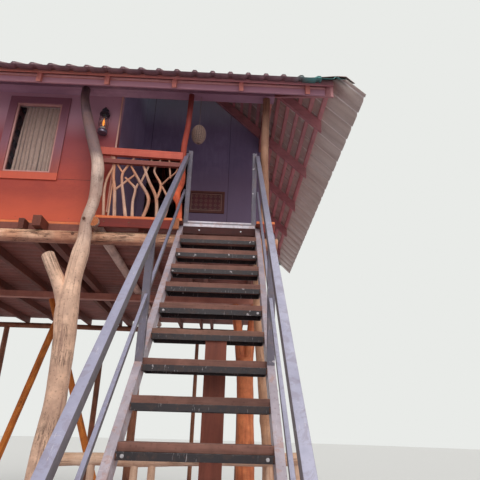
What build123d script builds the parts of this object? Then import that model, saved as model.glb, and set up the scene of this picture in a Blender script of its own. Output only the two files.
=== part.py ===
"""Timber house on posts with a hipped metal roof, a recessed porch and a steel stair.

The origin is the middle of the foot of the square post under the stair. X runs to
the right along the front, Y runs from the stair towards the house, Z is up. All
sizes are in millimetres.
"""

import os
from math import atan2, cos, degrees, hypot, radians, tan

from build123d import *

os.makedirs("parts", exist_ok=True)

# Stair
rise = 244
run = 256
risers = 15
stair_width = 800
tread_depth = 185
tread_board = 45
tread_frame_height = 40
tread_frame_wall = 5
stringer_width = 50
stringer_depth = 110
stringer_drop = 36
handrail_height = 900
handrail_width = 60
handrail_depth = 40
handrail_out = 12
handrail_run_out = 95
mid_rail_height = 410
mid_rail_size = 30
mid_rail_run_out = 25
baluster_size = 50
baluster_set_back = 8
baluster_treads = (1, 8)
newel_height = 930
newel_size = 50
stair_post_size = 150
stair_post_tread = 9
stair_middle = -60

# Bars and board at the top of the stair
bar_thickness = 20
low_bar_height = 50
high_bar_height = 25
landing_board_height = 85

# Platform, with its set-backs measured from the front edge of the deck
landing_set_back = 119
landing_side_gap = 5
front_beam_set_back = 126
wall_set_back = 226
middle_beam_set_back = 2857
platform_depth = 5600
floor_board = 30
joist_width = 60
joist_depth = 120
joist_spacing = 657
joist_seat = 30
log_joist_radius = 58
log_joist_run_out = 35
square_joist_width = 90
square_joist_run_out = 5
rim_board = 25
front_beam_radius = 72.5
middle_beam_width = 100
middle_beam_depth = 98
rear_beam_radius = 55
beam_saddle = 25
edge_board = 25
edge_board_height = 100
edge_board_set_back = 2

# Places along the front, measured from the middle of the stair
left_end = -4830
right_end = 610
cabin_corner = -1284
balcony_left = -1365
log_joist_place = -1350
square_joist_place = -1965
window_places = (-2297, -3817)
beam_left_overrun = 90
beam_right_overrun = 40

# Walls
wall = 70
plate_width = 150
plate_depth = 164
side_plate_width = 100
side_plate_depth = 190
head_height = 1731
porch_depth = 1650
doorway_left = -1184
doorway_width = 620
doorway_height = 1850
corner_trim_width = 20
corner_trim_bottom = 130
corner_trim_gap = 5

# Windows
window_width = 550
window_height = 964
window_drop = 159
trim_width = 22
trim_depth = 30
trim_proud = 4
architrave_width = 95
architrave_depth = 18
glass = 6
glass_set_back = 12
curtain_depth = 24
curtain_gap = 12
curtain_side_gap = 4

# Roof
eave_drop = 111
front_pitch = 36
side_pitch = 43
front_overhang = 426
side_overhang = 633
rafter_width = 50
rafter_depth = 160
rafter_spacing = 765
side_rafter_spacing = 1218
hip_width = 50
hip_depth = 190
ridge_board_width = 40
ridge_board_depth = 190
batten_depth = 50
batten_width = 42
batten_spacing = 390
slat_spacing = 125
sheet_depth = 36
sheet_front_overhang = 150
sheet_side_overhang = 330
cap_width = 150
cap_thickness = 8
fascia = 22
fascia_height = 57
fascia_rise = 12
lower_fascia = 20
lower_fascia_height = 85
lower_fascia_set_back = 50

# Balcony
top_rail_height = 852
top_rail_fall = 31
top_rail_depth = 92
second_rail_height = 705
second_rail_fall = 22
second_rail_depth = 52
rail_width = 45
rail_left = -1448
rail_right = -455
branch_line = 30
block_left = -505
block_width = 70
block_depth = 30
block_height = 120

# Ground rail between the front posts
ground_rail_left = -1412
ground_rail_right = 900
ground_rail_left_top = 1290
ground_rail_right_top = 1344
ground_rail_radius = 58
ground_rail_set_back = 20
ground_picket_radius = 36
ground_picket_places = (-1051, -875, -662, -503, 567, 820)

# Things that hang on the porch
lantern_place = -1466
lantern_radius = 62
lantern_wall_gap = 8
lantern_bottom = 1139
lantern_base = 60
lantern_glass_height = 205
lantern_glass_radius = 46
lantern_cap = 113
lantern_rod_radius = 5
lantern_arm = 18
woven_place = -305
woven_set_back = 151
woven_middle = 1180
woven_radius = 90
woven_half_height = 132
string_radius = 4
picture_left = -524
picture_bottom = 818
picture_width = 540
picture_height = 355
picture_rim = 28
picture_depth = 22
picture_panel = 10

# Levels and lines that follow from the sizes above
deck = rise * risers
half_stair = stair_width / 2
deck_edge = (risers - stair_post_tread) * run - tread_depth / 2 - landing_set_back
landing = deck_edge + landing_set_back
slope = degrees(atan2(rise, run))
joist_top = deck - floor_board
beam_top = joist_top - joist_depth
front_beam_y = deck_edge + front_beam_set_back
middle_beam_y = deck_edge + middle_beam_set_back
rear = deck_edge + platform_depth
rear_beam_y = rear - rear_beam_radius
front_wall_y = deck_edge + wall_set_back
inside_front = front_wall_y + wall
inside_rear = rear - wall
porch_back = deck_edge + porch_depth
left = stair_middle + left_end
right = stair_middle + right_end
corner = stair_middle + cabin_corner
plate_bottom = deck + head_height
plate_top = plate_bottom + plate_depth
side_plate_top = plate_top + side_plate_depth
plate_front = front_wall_y - plate_width
notch = half_stair + landing_side_gap
rail_line = deck_edge + branch_line

# The roof, measured outwards from its middle: u along X and v along Y
eave = plate_bottom - eave_drop
half_roof_x = (right - left) / 2 + side_overhang
half_roof_y = (rear - plate_front) / 2 + front_overhang
roof_x = (left + right) / 2
roof_y = (plate_front + rear) / 2
front_fall = tan(radians(front_pitch))
side_fall = tan(radians(side_pitch))
ridge_top = eave + half_roof_y * front_fall
hip_run = (ridge_top - eave) / side_fall
half_ridge = half_roof_x - hip_run
hip_length = hypot(hip_run, half_roof_y)
hip_side_u = hip_width / 2 * hip_length / half_roof_y
hip_side_v = hip_width / 2 * hip_length / hip_run
cap_side_u = cap_width / 2 * hip_length / half_roof_y
ridge_v = ridge_board_width / 2
sheet_v = half_roof_y + sheet_front_overhang
sheet_u = half_roof_x + sheet_side_overhang


def save(piece, name):
    """Labels a piece and writes it as its own STEP file."""
    piece.label = name
    export_step(piece, f"parts/{name}.step")


def block(x0, x1, y0, y1, z0, z1):
    """A plain board or slab between two corners."""
    with BuildPart() as board:
        with BuildSketch(Plane.XY.offset(z0)):
            with Locations(((x0 + x1) / 2, (y0 + y1) / 2)):
                Rectangle(x1 - x0, y1 - y0)
        extrude(amount=z1 - z0)
    return board.part


def log(stations):
    """A natural log, from rings given as (x, y, z, radius) going up."""
    with BuildPart() as trunk:
        for x, y, z, radius in stations:
            with BuildSketch(Plane.XY.offset(z)):
                with Locations((x, y)):
                    Circle(radius)
        loft(ruled=True)
    return trunk.part


def lying_log(stations):
    """A log lying along X, from rings given as (x, y, z, radius)."""
    with BuildPart() as trunk:
        for x, y, z, radius in stations:
            with BuildSketch(Plane.YZ.offset(x)):
                with Locations((y, z)):
                    Circle(radius)
        loft(ruled=True)
    return trunk.part


def side_profile(points, x0, x1):
    """A shape drawn in the side view as (y, z) points, from x0 to x1."""
    with BuildPart() as member:
        with BuildSketch(Plane.YZ.offset(x0)):
            Polygon(*points, align=None)
        extrude(amount=x1 - x0)
    return member.part


def front_profile(points, y0, y1):
    """A shape drawn in the front view as (x, z) points, from y0 to y1."""
    with BuildPart() as member:
        with BuildSketch(Plane.XZ.offset(-y0)):
            Polygon(*points, align=None)
        extrude(amount=y0 - y1)
    return member.part


def panel(plane, width, bottom, top, start, depth):
    """A flat block on a window's plane, from a distance outwards by a depth."""
    with BuildPart() as leaf:
        with BuildSketch(plane.offset(start)):
            with Locations((0, (bottom + top) / 2)):
                Rectangle(width, top - bottom)
        extrude(amount=depth)
    return leaf.part


def ring(plane, width, bottom, top, rim, start, depth):
    """A rectangular frame on a window's plane, its rim measured inwards."""
    with BuildPart() as frame:
        with BuildSketch(plane.offset(start)):
            with Locations((0, (bottom + top) / 2)):
                Rectangle(width, top - bottom)
                Rectangle(width - 2 * rim, top - bottom - 2 * rim, mode=Mode.SUBTRACT)
        extrude(amount=depth)
    return frame.part


def nosing(y):
    """The height of the line through the front edges of the treads."""
    return deck + (y - landing) * rise / run


def tread_front(number):
    """The front of a tread, counted from the ground."""
    return landing - (risers - number) * run


def tread_top(number):
    """The top of a tread, counted from the ground."""
    return number * rise


def sloped(y0, y1, height, depth, x0, x1):
    """A bar that follows the stair, its top at a height over the nosings."""
    fall = depth / cos(radians(slope))
    return side_profile(
        [
            (y0, nosing(y0) + height),
            (y1, nosing(y1) + height),
            (y1, nosing(y1) + height - fall),
            (y0, nosing(y0) + height - fall),
        ],
        x0,
        x1,
    )


def front_roof(y):
    """The height of the rafter tops on the front slope."""
    return eave + (y - (roof_y - half_roof_y)) * front_fall


def right_roof(x):
    """The height of the rafter tops on the right slope."""
    return eave + (roof_x + half_roof_x - x) * side_fall


def hip_u(v):
    """How far out from the roof's middle along X the hip line is at v."""
    return half_roof_x - (half_roof_y - v) * front_fall / side_fall


def hip_v(u):
    """How far out from the roof's middle along Y the hip line is at u."""
    return half_roof_y - (half_roof_x - u) * side_fall / front_fall


def slope_plane(side, lift):
    """The plane of the rafter tops on one side of the roof, raised by a height."""
    x, y = side
    if y:
        origin = (roof_x, roof_y + y * half_roof_y, eave + lift)
        return Plane(origin=origin, x_dir=(1, 0, 0), z_dir=(0, y * front_fall, 1))
    origin = (roof_x + x * half_roof_x, roof_y, eave + lift)
    return Plane(origin=origin, x_dir=(0, 1, 0), z_dir=(x * side_fall, 0, 1))


def footprint(points, x=1, y=1):
    """A tall prism over (u, v) points, in the quarter of the roof given by two signs."""
    with BuildPart() as prism:
        with BuildSketch(Plane.XY.offset(deck)):
            Polygon(*[(roof_x + x * u, roof_y + y * v) for u, v in points], align=None)
        extrude(amount=ridge_top - deck + 2 * rafter_depth)
    return prism.part


def roof_layer(points, side, low, high, x=1, y=1):
    """A layer of one slope over (u, v) points, between two heights over the rafters."""
    with BuildPart() as layer:
        add(footprint(points, x, y))
        split(bisect_by=slope_plane(side, low), keep=Keep.TOP)
        split(bisect_by=slope_plane(side, high), keep=Keep.BOTTOM)
    return layer.part


def hip_rafter(x, y):
    """The hip rafter of one quarter of the roof, its top bevelled to both slopes."""
    along = Vector(-x * hip_run, -y * half_roof_y, ridge_top - eave)
    across = Vector(y * half_roof_y, -x * hip_run, 0)
    foot = (roof_x + x * half_roof_x, roof_y + y * half_roof_y, eave - hip_depth)
    outline = [
        (half_roof_x, half_roof_y),
        (half_roof_x - hip_side_u, half_roof_y),
        (hip_u(ridge_v) - hip_side_u, ridge_v),
        (hip_u(ridge_v) + hip_side_u, ridge_v),
        (half_roof_x, half_roof_y - hip_side_v),
    ]
    with BuildPart() as hip:
        add(footprint(outline, x, y))
        split(bisect_by=slope_plane((x, 0), 0), keep=Keep.BOTTOM)
        split(bisect_by=slope_plane((0, y), 0), keep=Keep.BOTTOM)
        split(
            bisect_by=Plane(origin=foot, x_dir=across, z_dir=along.cross(across)),
            keep=Keep.TOP,
        )
    return hip.part


front_side = (0, -1)
rear_side = (0, 1)
right_side = (1, 0)
left_side = (-1, 0)

# Beams that carry the platform
with BuildPart() as front_beam:
    with BuildSketch(Plane.YZ.offset(left - beam_left_overrun)):
        with Locations((front_beam_y, beam_top - front_beam_radius)):
            Circle(front_beam_radius)
    extrude(amount=right - left + beam_left_overrun + beam_right_overrun)
save(front_beam.part, "front_beam")

with BuildPart() as middle_beam:
    add(
        block(
            left - beam_left_overrun,
            right,
            middle_beam_y - middle_beam_width / 2,
            middle_beam_y + middle_beam_width / 2,
            beam_top - middle_beam_depth,
            beam_top,
        )
    )
save(middle_beam.part, "middle_beam")

with BuildPart() as rear_beam:
    with BuildSketch(Plane.YZ.offset(left - beam_left_overrun)):
        with Locations((rear_beam_y, beam_top - rear_beam_radius)):
            Circle(rear_beam_radius)
    extrude(amount=right - left + beam_left_overrun)
save(rear_beam.part, "rear_beam")

# Joists: a squared one and a round one run out past the cabin wall
log_joist_x = stair_middle + log_joist_place
square_joist_x = stair_middle + square_joist_place
stair_joist_side = half_stair + stringer_width / 2
stair_joists = (stair_middle - stair_joist_side, stair_middle + stair_joist_side)
joist_places = [left + joist_width / 2]
while joist_places[-1] + joist_spacing < right - joist_spacing / 2:
    joist_places.append(joist_places[-1] + joist_spacing)
joist_places.append(right - joist_width / 2)
special_joists = (log_joist_x, square_joist_x) + stair_joists

with BuildPart() as floor_joists:
    for x in joist_places:
        if min(abs(x - other) for other in special_joists) > 3 * joist_width:
            behind_stair = abs(x - stair_middle) < half_stair + joist_width
            start = landing if behind_stair else front_beam_y - joist_seat
            add(block(x - joist_width / 2, x + joist_width / 2, start, rear, beam_top, joist_top))
    add(
        block(
            square_joist_x - square_joist_width / 2,
            square_joist_x + square_joist_width / 2,
            deck_edge - square_joist_run_out,
            rear,
            beam_top,
            joist_top,
        )
    )
    for x in stair_joists:
        add(
            block(x - stringer_width / 2, x + stringer_width / 2, landing, rear, beam_top, joist_top)
        )
save(floor_joists.part, "floor_joists")

with BuildPart() as log_joist:
    with BuildSketch(Plane.XZ.offset(-(deck_edge - log_joist_run_out))):
        with Locations((log_joist_x, joist_top - log_joist_radius)):
            Circle(log_joist_radius)
    extrude(amount=-(platform_depth + log_joist_run_out))
    add(front_beam.part, mode=Mode.SUBTRACT)
save(log_joist.part, "log_joist")

# Floor with its front lip stepped back for the stair
with BuildPart() as floor_boards:
    with BuildSketch(Plane.XY.offset(joist_top)):
        Polygon(
            (left, front_wall_y),
            (stair_middle + balcony_left, front_wall_y),
            (stair_middle + balcony_left, deck_edge),
            (stair_middle - notch, deck_edge),
            (stair_middle - notch, landing),
            (stair_middle + notch, landing),
            (stair_middle + notch, deck_edge),
            (right, deck_edge),
            (right, rear),
            (left, rear),
            align=None,
        )
    extrude(amount=floor_board)
save(floor_boards.part, "floor_boards")

# Boards under the lip of the deck, one each side of the stair
edge_front = deck_edge + edge_board_set_back
edge_bottom = joist_top - edge_board_height
edge_inner = half_stair + stringer_width
with BuildPart() as deck_edge_boards:
    add(
        block(
            log_joist_x,
            stair_middle - edge_inner,
            edge_front,
            edge_front + edge_board,
            edge_bottom,
            joist_top,
        )
    )
    add(
        block(
            stair_middle + edge_inner,
            right,
            edge_front,
            edge_front + edge_board,
            edge_bottom,
            joist_top,
        )
    )
    add(log_joist.part, mode=Mode.SUBTRACT)
save(deck_edge_boards.part, "deck_edge_boards")

# Blocks that close the floor under the front wall, cut between the joists
with BuildPart() as front_rim:
    add(
        block(
            left,
            log_joist_x,
            front_wall_y,
            front_wall_y + rim_board,
            beam_top,
            joist_top,
        )
    )
    add(floor_joists.part, mode=Mode.SUBTRACT)
    add(log_joist.part, mode=Mode.SUBTRACT)
save(front_rim.part, "front_rim")

# Square post under the stair, up to the board of its tread
with BuildPart() as stair_post:
    with BuildSketch():
        Rectangle(stair_post_size, stair_post_size)
    extrude(amount=tread_top(stair_post_tread) - tread_board)
save(stair_post.part, "stair_post")

# Stringers, cut to sit over the front beam
stringer_fall = stringer_depth / cos(radians(slope))
foot_front = landing - (deck - stringer_drop) * run / rise
foot_back = foot_front + stringer_fall * run / rise
with BuildPart() as stringers:
    for side in (-1, 1):
        inner = stair_middle + side * half_stair
        outer = inner + side * stringer_width
        add(
            side_profile(
                [
                    (foot_front, 0),
                    (landing, deck - stringer_drop),
                    (landing, deck - stringer_drop - stringer_fall),
                    (foot_back, 0),
                ],
                min(inner, outer),
                max(inner, outer),
            )
        )
    add(front_beam.part, mode=Mode.SUBTRACT)
save(stringers.part, "stringers")

# Treads: a board on an open steel frame
with BuildPart() as tread_boards:
    for number in range(1, risers):
        y = tread_front(number)
        z = tread_top(number)
        add(
            block(
                stair_middle - half_stair,
                stair_middle + half_stair,
                y,
                y + tread_depth,
                z - tread_board,
                z,
            )
        )
save(tread_boards.part, "tread_boards")

with BuildPart() as tread_frames:
    for number in range(1, risers):
        z = tread_top(number) - tread_board - tread_frame_height
        with BuildSketch(Plane.XY.offset(z)):
            with Locations((stair_middle, tread_front(number) + tread_depth / 2)):
                Rectangle(stair_width, tread_depth)
                Rectangle(
                    stair_width - 2 * tread_frame_wall,
                    tread_depth - 2 * tread_frame_wall,
                    mode=Mode.SUBTRACT,
                )
        extrude(amount=tread_frame_height)
save(tread_frames.part, "tread_frames")

# Handrails, with mid rails cut between the balusters
handrail_foot = tread_front(min(baluster_treads)) - handrail_run_out
handrail_fall = handrail_depth / cos(radians(slope))
with BuildPart() as handrails:
    for side in (-1, 1):
        middle = stair_middle + side * (half_stair + handrail_out)
        add(
            sloped(
                handrail_foot,
                landing,
                handrail_height,
                handrail_depth,
                middle - handrail_width / 2,
                middle + handrail_width / 2,
            )
        )
save(handrails.part, "handrails")

with BuildPart() as balusters:
    for side in (-1, 1):
        middle = stair_middle + side * (half_stair + stringer_width / 2)
        for number in baluster_treads:
            y0 = tread_front(number) + baluster_set_back
            y1 = y0 + baluster_size
            add(
                side_profile(
                    [
                        (y0, nosing(y0) - stringer_drop),
                        (y1, nosing(y1) - stringer_drop),
                        (y1, nosing(y1) + handrail_height - handrail_fall),
                        (y0, nosing(y0) + handrail_height - handrail_fall),
                    ],
                    middle - baluster_size / 2,
                    middle + baluster_size / 2,
                )
            )
        middle = stair_middle + side * (notch - newel_size / 2)
        add(
            block(
                middle - newel_size / 2,
                middle + newel_size / 2,
                landing,
                landing + newel_size,
                deck,
                deck + newel_height,
            )
        )
save(balusters.part, "balusters")

with BuildPart() as mid_rails:
    for side in (-1, 1):
        inner = stair_middle + side * notch
        outer = inner + side * mid_rail_size
        add(
            sloped(
                tread_front(min(baluster_treads)) + baluster_set_back,
                landing + mid_rail_run_out,
                mid_rail_height,
                mid_rail_size,
                min(inner, outer),
                max(inner, outer),
            )
        )
    add(balusters.part, mode=Mode.SUBTRACT)
save(mid_rails.part, "mid_rails")

# Board and steel bars at the top of the stair
with BuildPart() as landing_bars:
    add(
        block(
            stair_middle - half_stair,
            stair_middle + half_stair,
            landing - bar_thickness,
            landing,
            deck - low_bar_height,
            deck,
        )
    )
    add(
        block(
            stair_middle - notch + newel_size,
            stair_middle + notch - newel_size,
            landing,
            landing + bar_thickness,
            deck,
            deck + high_bar_height,
        )
    )
save(landing_bars.part, "landing_bars")

with BuildPart() as landing_board:
    add(
        block(
            stair_middle - half_stair,
            stair_middle + half_stair,
            landing - bar_thickness,
            landing,
            deck - low_bar_height - landing_board_height,
            deck - low_bar_height,
        )
    )
save(landing_board.part, "landing_board")

# Log posts at the front: rings as (x, y, z, radius), x from the middle of the stair
# and y from the edge of the deck
fork_stem = (
    (-1550, -10, 0, 115),
    (-1497, -10, 1143, 105),
    (-1455, -10, 1739, 100),
    (-1465, -10, 2302, 105),
    (-1483, -10, 2601, 115),
    (-1470, -10, 2968, 85),
    (-1442, -10, 3189, 88),
    (-1425, -10, 3393, 70),
    (-1430, -10, 3590, 60),
    (-1385, -10, 3832, 62),
    (-1401, -10, 4271, 68),
    (-1483, -10, 4531, 64),
    (-1578, -5, 4798, 62),
    (-1697, 40, 5200, 52),
    (-1722, 100, plate_bottom, 50),
)
fork_stub = (
    (-1522, -10, 2650, 80),
    (-1604, -10, 2870, 74),
    (-1700, -10, 3040, 68),
    (-1779, -10, 3186, 66),
)
with BuildPart() as forked_log_post:
    for stations in (fork_stem, fork_stub):
        add(log([(stair_middle + x, deck_edge + y, z, r) for x, y, z, r in stations]))
    add(front_beam.part, mode=Mode.SUBTRACT)
    add(log_joist.part, mode=Mode.SUBTRACT)
    add(floor_boards.part, mode=Mode.SUBTRACT)
    add(deck_edge_boards.part, mode=Mode.SUBTRACT)
save(forked_log_post.part, "forked_log_post")

right_stem = (
    (600, 0, 85),
    (584, 1143, 75),
    (573, 1444, 75),
    (529, 1995, 74),
    (494, 2339, 74),
    (469, 2649, 72),
    (457, 3085, 70),
    (453, beam_top - 2 * front_beam_radius + beam_saddle, 70),
)
with BuildPart() as right_log_post:
    add(log([(stair_middle + x, front_beam_y, z, radius) for x, z, radius in right_stem]))
    add(front_beam.part, mode=Mode.SUBTRACT)
    add(stringers.part, mode=Mode.SUBTRACT)
save(right_log_post.part, "right_log_post")

# Forked trunk under the middle beam
trunk_rings = (
    ((492, 0, 145), (467, 977, 132), (452, 1700, 126), (431, 2382, 128), (420, 2560, 118)),
    ((400, 2382, 88), (345, 2700, 78), (292, 3080, 70), (240, beam_top - middle_beam_depth, 64)),
    ((455, 2382, 88), (490, 2700, 78), (525, 3088, 70), (556, beam_top - middle_beam_depth, 64)),
)
with BuildPart() as forked_trunk_post:
    for stations in trunk_rings:
        add(log([(stair_middle + x, middle_beam_y, z, radius) for x, z, radius in stations]))
save(forked_trunk_post.part, "forked_trunk_post")

# Plain round posts: x from the middle of the stair, y, radii at the foot and the head
middle_head = beam_top - middle_beam_depth
rear_head = beam_top - 2 * rear_beam_radius + beam_saddle
front_head = beam_top - 2 * front_beam_radius + beam_saddle
plain_posts = (
    (-4550, front_beam_y, 85, 75, front_head),
    (-1231, middle_beam_y, 62, 56, middle_head),
    (-4550, middle_beam_y, 66, 58, middle_head),
    (-500, rear_beam_y, 42, 37, rear_head),
    (-2500, rear_beam_y, 60, 52, rear_head),
    (-4550, rear_beam_y, 66, 54, rear_head),
    (430, rear_beam_y, 62, 54, rear_head),
)
with BuildPart() as under_posts:
    for x, y, foot, head, top in plain_posts:
        add(log([(stair_middle + x, y, 0, foot), (stair_middle + x, y, top, head)]))
    add(front_beam.part, mode=Mode.SUBTRACT)
    add(rear_beam.part, mode=Mode.SUBTRACT)
save(under_posts.part, "under_posts")

# Raking props that cross under the middle beam, side by side
prop_radius = 52
props = (
    (-3341, -2465, middle_beam_y - prop_radius),
    (-1396, -2733, middle_beam_y + prop_radius),
)
with BuildPart() as raking_props:
    for foot_x, head_x, y in props:
        add(
            log(
                [
                    (stair_middle + foot_x, y, 0, prop_radius),
                    (stair_middle + head_x, y, middle_head, prop_radius),
                ]
            )
        )
save(raking_props.part, "raking_props")

# Log rail between the front posts, with short posts under it
ground_rail_y = deck_edge + ground_rail_set_back
ground_rail_ends = (
    (ground_rail_left, ground_rail_left_top - ground_rail_radius),
    (ground_rail_right, ground_rail_right_top - ground_rail_radius),
)
rail_rise = (ground_rail_right_top - ground_rail_left_top) / (ground_rail_right - ground_rail_left)
with BuildPart() as ground_rail:
    add(
        lying_log(
            [(stair_middle + x, ground_rail_y, z, ground_rail_radius) for x, z in ground_rail_ends]
        )
    )
    for x in ground_picket_places:
        top = ground_rail_ends[0][1] + (x - ground_rail_left) * rail_rise
        add(
            log(
                [
                    (stair_middle + x, ground_rail_y, 0, ground_picket_radius),
                    (stair_middle + x, ground_rail_y, top, ground_picket_radius),
                ]
            )
        )
    add(forked_log_post.part, mode=Mode.SUBTRACT)
    add(right_log_post.part, mode=Mode.SUBTRACT)
save(ground_rail.part, "ground_rail")

# Plates on the walls: the side plates lie on the front and rear ones
with BuildPart() as end_plates:
    add(block(left, right, plate_front, front_wall_y, plate_bottom, plate_top))
    add(block(left, right, rear - plate_width, rear, plate_bottom, plate_top))
save(end_plates.part, "end_plates")

with BuildPart() as side_plates:
    add(block(left, left + side_plate_width, plate_front, rear, plate_top, side_plate_top))
    add(block(right - side_plate_width, right, plate_front, rear, plate_top, side_plate_top))
    split(bisect_by=slope_plane(front_side, 0), keep=Keep.BOTTOM)
    split(bisect_by=slope_plane(rear_side, 0), keep=Keep.BOTTOM)
save(side_plates.part, "side_plates")

# Ridge board, cut to the side slopes at its ends
ridge_end = hip_u(rafter_width / 2) + hip_side_u
with BuildPart() as ridge_board:
    add(
        block(
            roof_x - ridge_end,
            roof_x + ridge_end,
            roof_y - ridge_v,
            roof_y + ridge_v,
            ridge_top - ridge_board_depth,
            ridge_top,
        )
    )
    for side in (front_side, rear_side, right_side, left_side):
        split(bisect_by=slope_plane(side, 0), keep=Keep.BOTTOM)
save(ridge_board.part, "ridge_board")

# Hip rafters
with BuildPart() as hip_rafters:
    for x in (-1, 1):
        for y in (-1, 1):
            add(hip_rafter(x, y))
    add(side_plates.part, mode=Mode.SUBTRACT)
    add(end_plates.part, mode=Mode.SUBTRACT)
save(hip_rafters.part, "hip_rafters")

# Rafters, notched over the plates and cut short at the hips
rafter_places = [0]
while rafter_places[-1] + rafter_spacing < half_roof_x - rafter_width:
    rafter_places.append(rafter_places[-1] + rafter_spacing)
side_rafter_places = [0]
while side_rafter_places[-1] + side_rafter_spacing < half_roof_y - side_rafter_spacing / 2:
    side_rafter_places.append(side_rafter_places[-1] + side_rafter_spacing)

with BuildPart() as rafters:
    for y in (-1, 1):
        for x in (-1, 1):
            for middle in rafter_places[x < 0 :]:
                edges = (middle - rafter_width / 2, middle + rafter_width / 2)
                ends = [max(ridge_v, hip_v(abs(u)) + hip_side_v) for u in edges]
                add(
                    roof_layer(
                        [
                            (edges[0], half_roof_y),
                            (edges[1], half_roof_y),
                            (edges[1], ends[1]),
                            (edges[0], ends[0]),
                        ],
                        (0, y),
                        -rafter_depth,
                        0,
                        x,
                        y,
                    )
                )
    add(end_plates.part, mode=Mode.SUBTRACT)
save(rafters.part, "rafters")

with BuildPart() as side_rafters:
    for x in (-1, 1):
        for y in (-1, 1):
            for middle in side_rafter_places[y < 0 :]:
                edges = (middle - rafter_width / 2, middle + rafter_width / 2)
                ends = [hip_u(abs(v)) + hip_side_u for v in edges]
                add(
                    roof_layer(
                        [
                            (half_roof_x, edges[0]),
                            (half_roof_x, edges[1]),
                            (ends[1], edges[1]),
                            (ends[0], edges[0]),
                        ],
                        (x, 0),
                        -rafter_depth,
                        0,
                        x,
                        y,
                    )
                )
    add(side_plates.part, mode=Mode.SUBTRACT)
save(side_rafters.part, "side_rafters")

# Battens on the front and rear slopes, slats on the side slopes
batten_rows = round((half_roof_y - batten_width) / batten_spacing)
batten_step = (half_roof_y - 1.5 * batten_width) / batten_rows

with BuildPart() as battens:
    for y in (-1, 1):
        outer = half_roof_y
        while outer > batten_width:
            inner = outer - batten_width
            add(
                roof_layer(
                    [
                        (hip_u(outer), outer),
                        (hip_u(inner), inner),
                        (-hip_u(inner), inner),
                        (-hip_u(outer), outer),
                    ],
                    (0, y),
                    0,
                    batten_depth,
                    1,
                    y,
                )
            )
            outer -= batten_step
save(battens.part, "battens")

with BuildPart() as slats:
    for x in (-1, 1):
        outer = half_roof_x
        while outer > half_ridge + batten_width:
            inner = outer - batten_width
            add(
                roof_layer(
                    [
                        (outer, hip_v(outer)),
                        (inner, hip_v(inner)),
                        (inner, -hip_v(inner)),
                        (outer, -hip_v(outer)),
                    ],
                    (x, 0),
                    0,
                    batten_depth,
                    x,
                )
            )
            outer -= slat_spacing
save(slats.part, "slats")

# Metal sheets, one to a slope, and folded caps over the ridge and hips
sheet_low = batten_depth
sheet_high = sheet_low + sheet_depth
for name, y in (("front_roof_sheet", -1), ("rear_roof_sheet", 1)):
    outline = [
        (-hip_u(sheet_v), sheet_v),
        (hip_u(sheet_v), sheet_v),
        (half_ridge, 0),
        (-half_ridge, 0),
    ]
    save(roof_layer(outline, (0, y), sheet_low, sheet_high, 1, y), name)
for name, x in (("left_roof_sheet", -1), ("right_roof_sheet", 1)):
    outline = [
        (sheet_u, sheet_v),
        (hip_u(sheet_v), sheet_v),
        (half_ridge, 0),
        (hip_u(sheet_v), -sheet_v),
        (sheet_u, -sheet_v),
    ]
    save(roof_layer(outline, (x, 0), sheet_low, sheet_high, x), name)

cap_high = sheet_high + cap_thickness
with BuildPart() as roof_caps:
    for y in (-1, 1):
        add(
            roof_layer(
                [
                    (-half_ridge, 0),
                    (half_ridge, 0),
                    (half_ridge, cap_width / 2),
                    (-half_ridge, cap_width / 2),
                ],
                (0, y),
                sheet_high,
                cap_high,
                1,
                y,
            )
        )
        for x in (-1, 1):
            for side, out in (((0, y), -cap_side_u), ((x, 0), cap_side_u)):
                add(
                    roof_layer(
                        [
                            (hip_u(sheet_v), sheet_v),
                            (hip_u(sheet_v) + out, sheet_v),
                            (half_ridge + out, 0),
                            (half_ridge, 0),
                        ],
                        side,
                        sheet_high,
                        cap_high,
                        x,
                        y,
                    )
                )
save(roof_caps.part, "roof_caps")

# Fascia over the rafter ends, and a lower board set back and notched round them
upper_bottom = eave + fascia_rise - fascia_height
lower_v = half_roof_y - lower_fascia_set_back - lower_fascia
lower_end = hip_u(lower_v) - hip_side_u
with BuildPart() as fascia_boards:
    for y in (-1, 1):
        outer = roof_y + y * (half_roof_y + fascia)
        inner = roof_y + y * half_roof_y
        add(
            block(
                roof_x - half_roof_x,
                roof_x + half_roof_x,
                min(outer, inner),
                max(outer, inner),
                upper_bottom,
                eave + fascia_rise,
            )
        )
        outer = roof_y + y * (lower_v + lower_fascia)
        inner = roof_y + y * lower_v
        add(
            block(
                roof_x - lower_end,
                roof_x + lower_end,
                min(outer, inner),
                max(outer, inner),
                upper_bottom - lower_fascia_height,
                upper_bottom,
            )
        )
    add(rafters.part, mode=Mode.SUBTRACT)
save(fascia_boards.part, "fascia_boards")

# Window planes, each at the middle of the foot of an opening, facing outwards
sill = plate_bottom - window_drop - window_height
wall_middle = (front_wall_y + rear) / 2
front_windows = [
    Plane(origin=(stair_middle + x, front_wall_y, sill), x_dir=(1, 0, 0), z_dir=(0, -1, 0))
    for x in window_places
]
rear_windows = [
    Plane(origin=(stair_middle + x, rear, sill), x_dir=(-1, 0, 0), z_dir=(0, 1, 0))
    for x in window_places
]
left_windows = [Plane(origin=(left, wall_middle, sill), x_dir=(0, -1, 0), z_dir=(-1, 0, 0))]
windows = front_windows + rear_windows + left_windows

# Walls, with the windows cut through
front_wall_top = front_roof(front_wall_y) - rafter_depth
with BuildPart() as front_wall:
    add(block(left, corner, front_wall_y, inside_front, deck, front_wall_top))
    for plane in front_windows:
        add(panel(plane, window_width, 0, window_height, -wall, wall), mode=Mode.SUBTRACT)
save(front_wall.part, "front_wall")

with BuildPart() as rear_wall:
    add(block(left, right, inside_rear, rear, deck, plate_bottom))
    for plane in rear_windows:
        add(panel(plane, window_width, 0, window_height, -wall, wall), mode=Mode.SUBTRACT)
save(rear_wall.part, "rear_wall")

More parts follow.
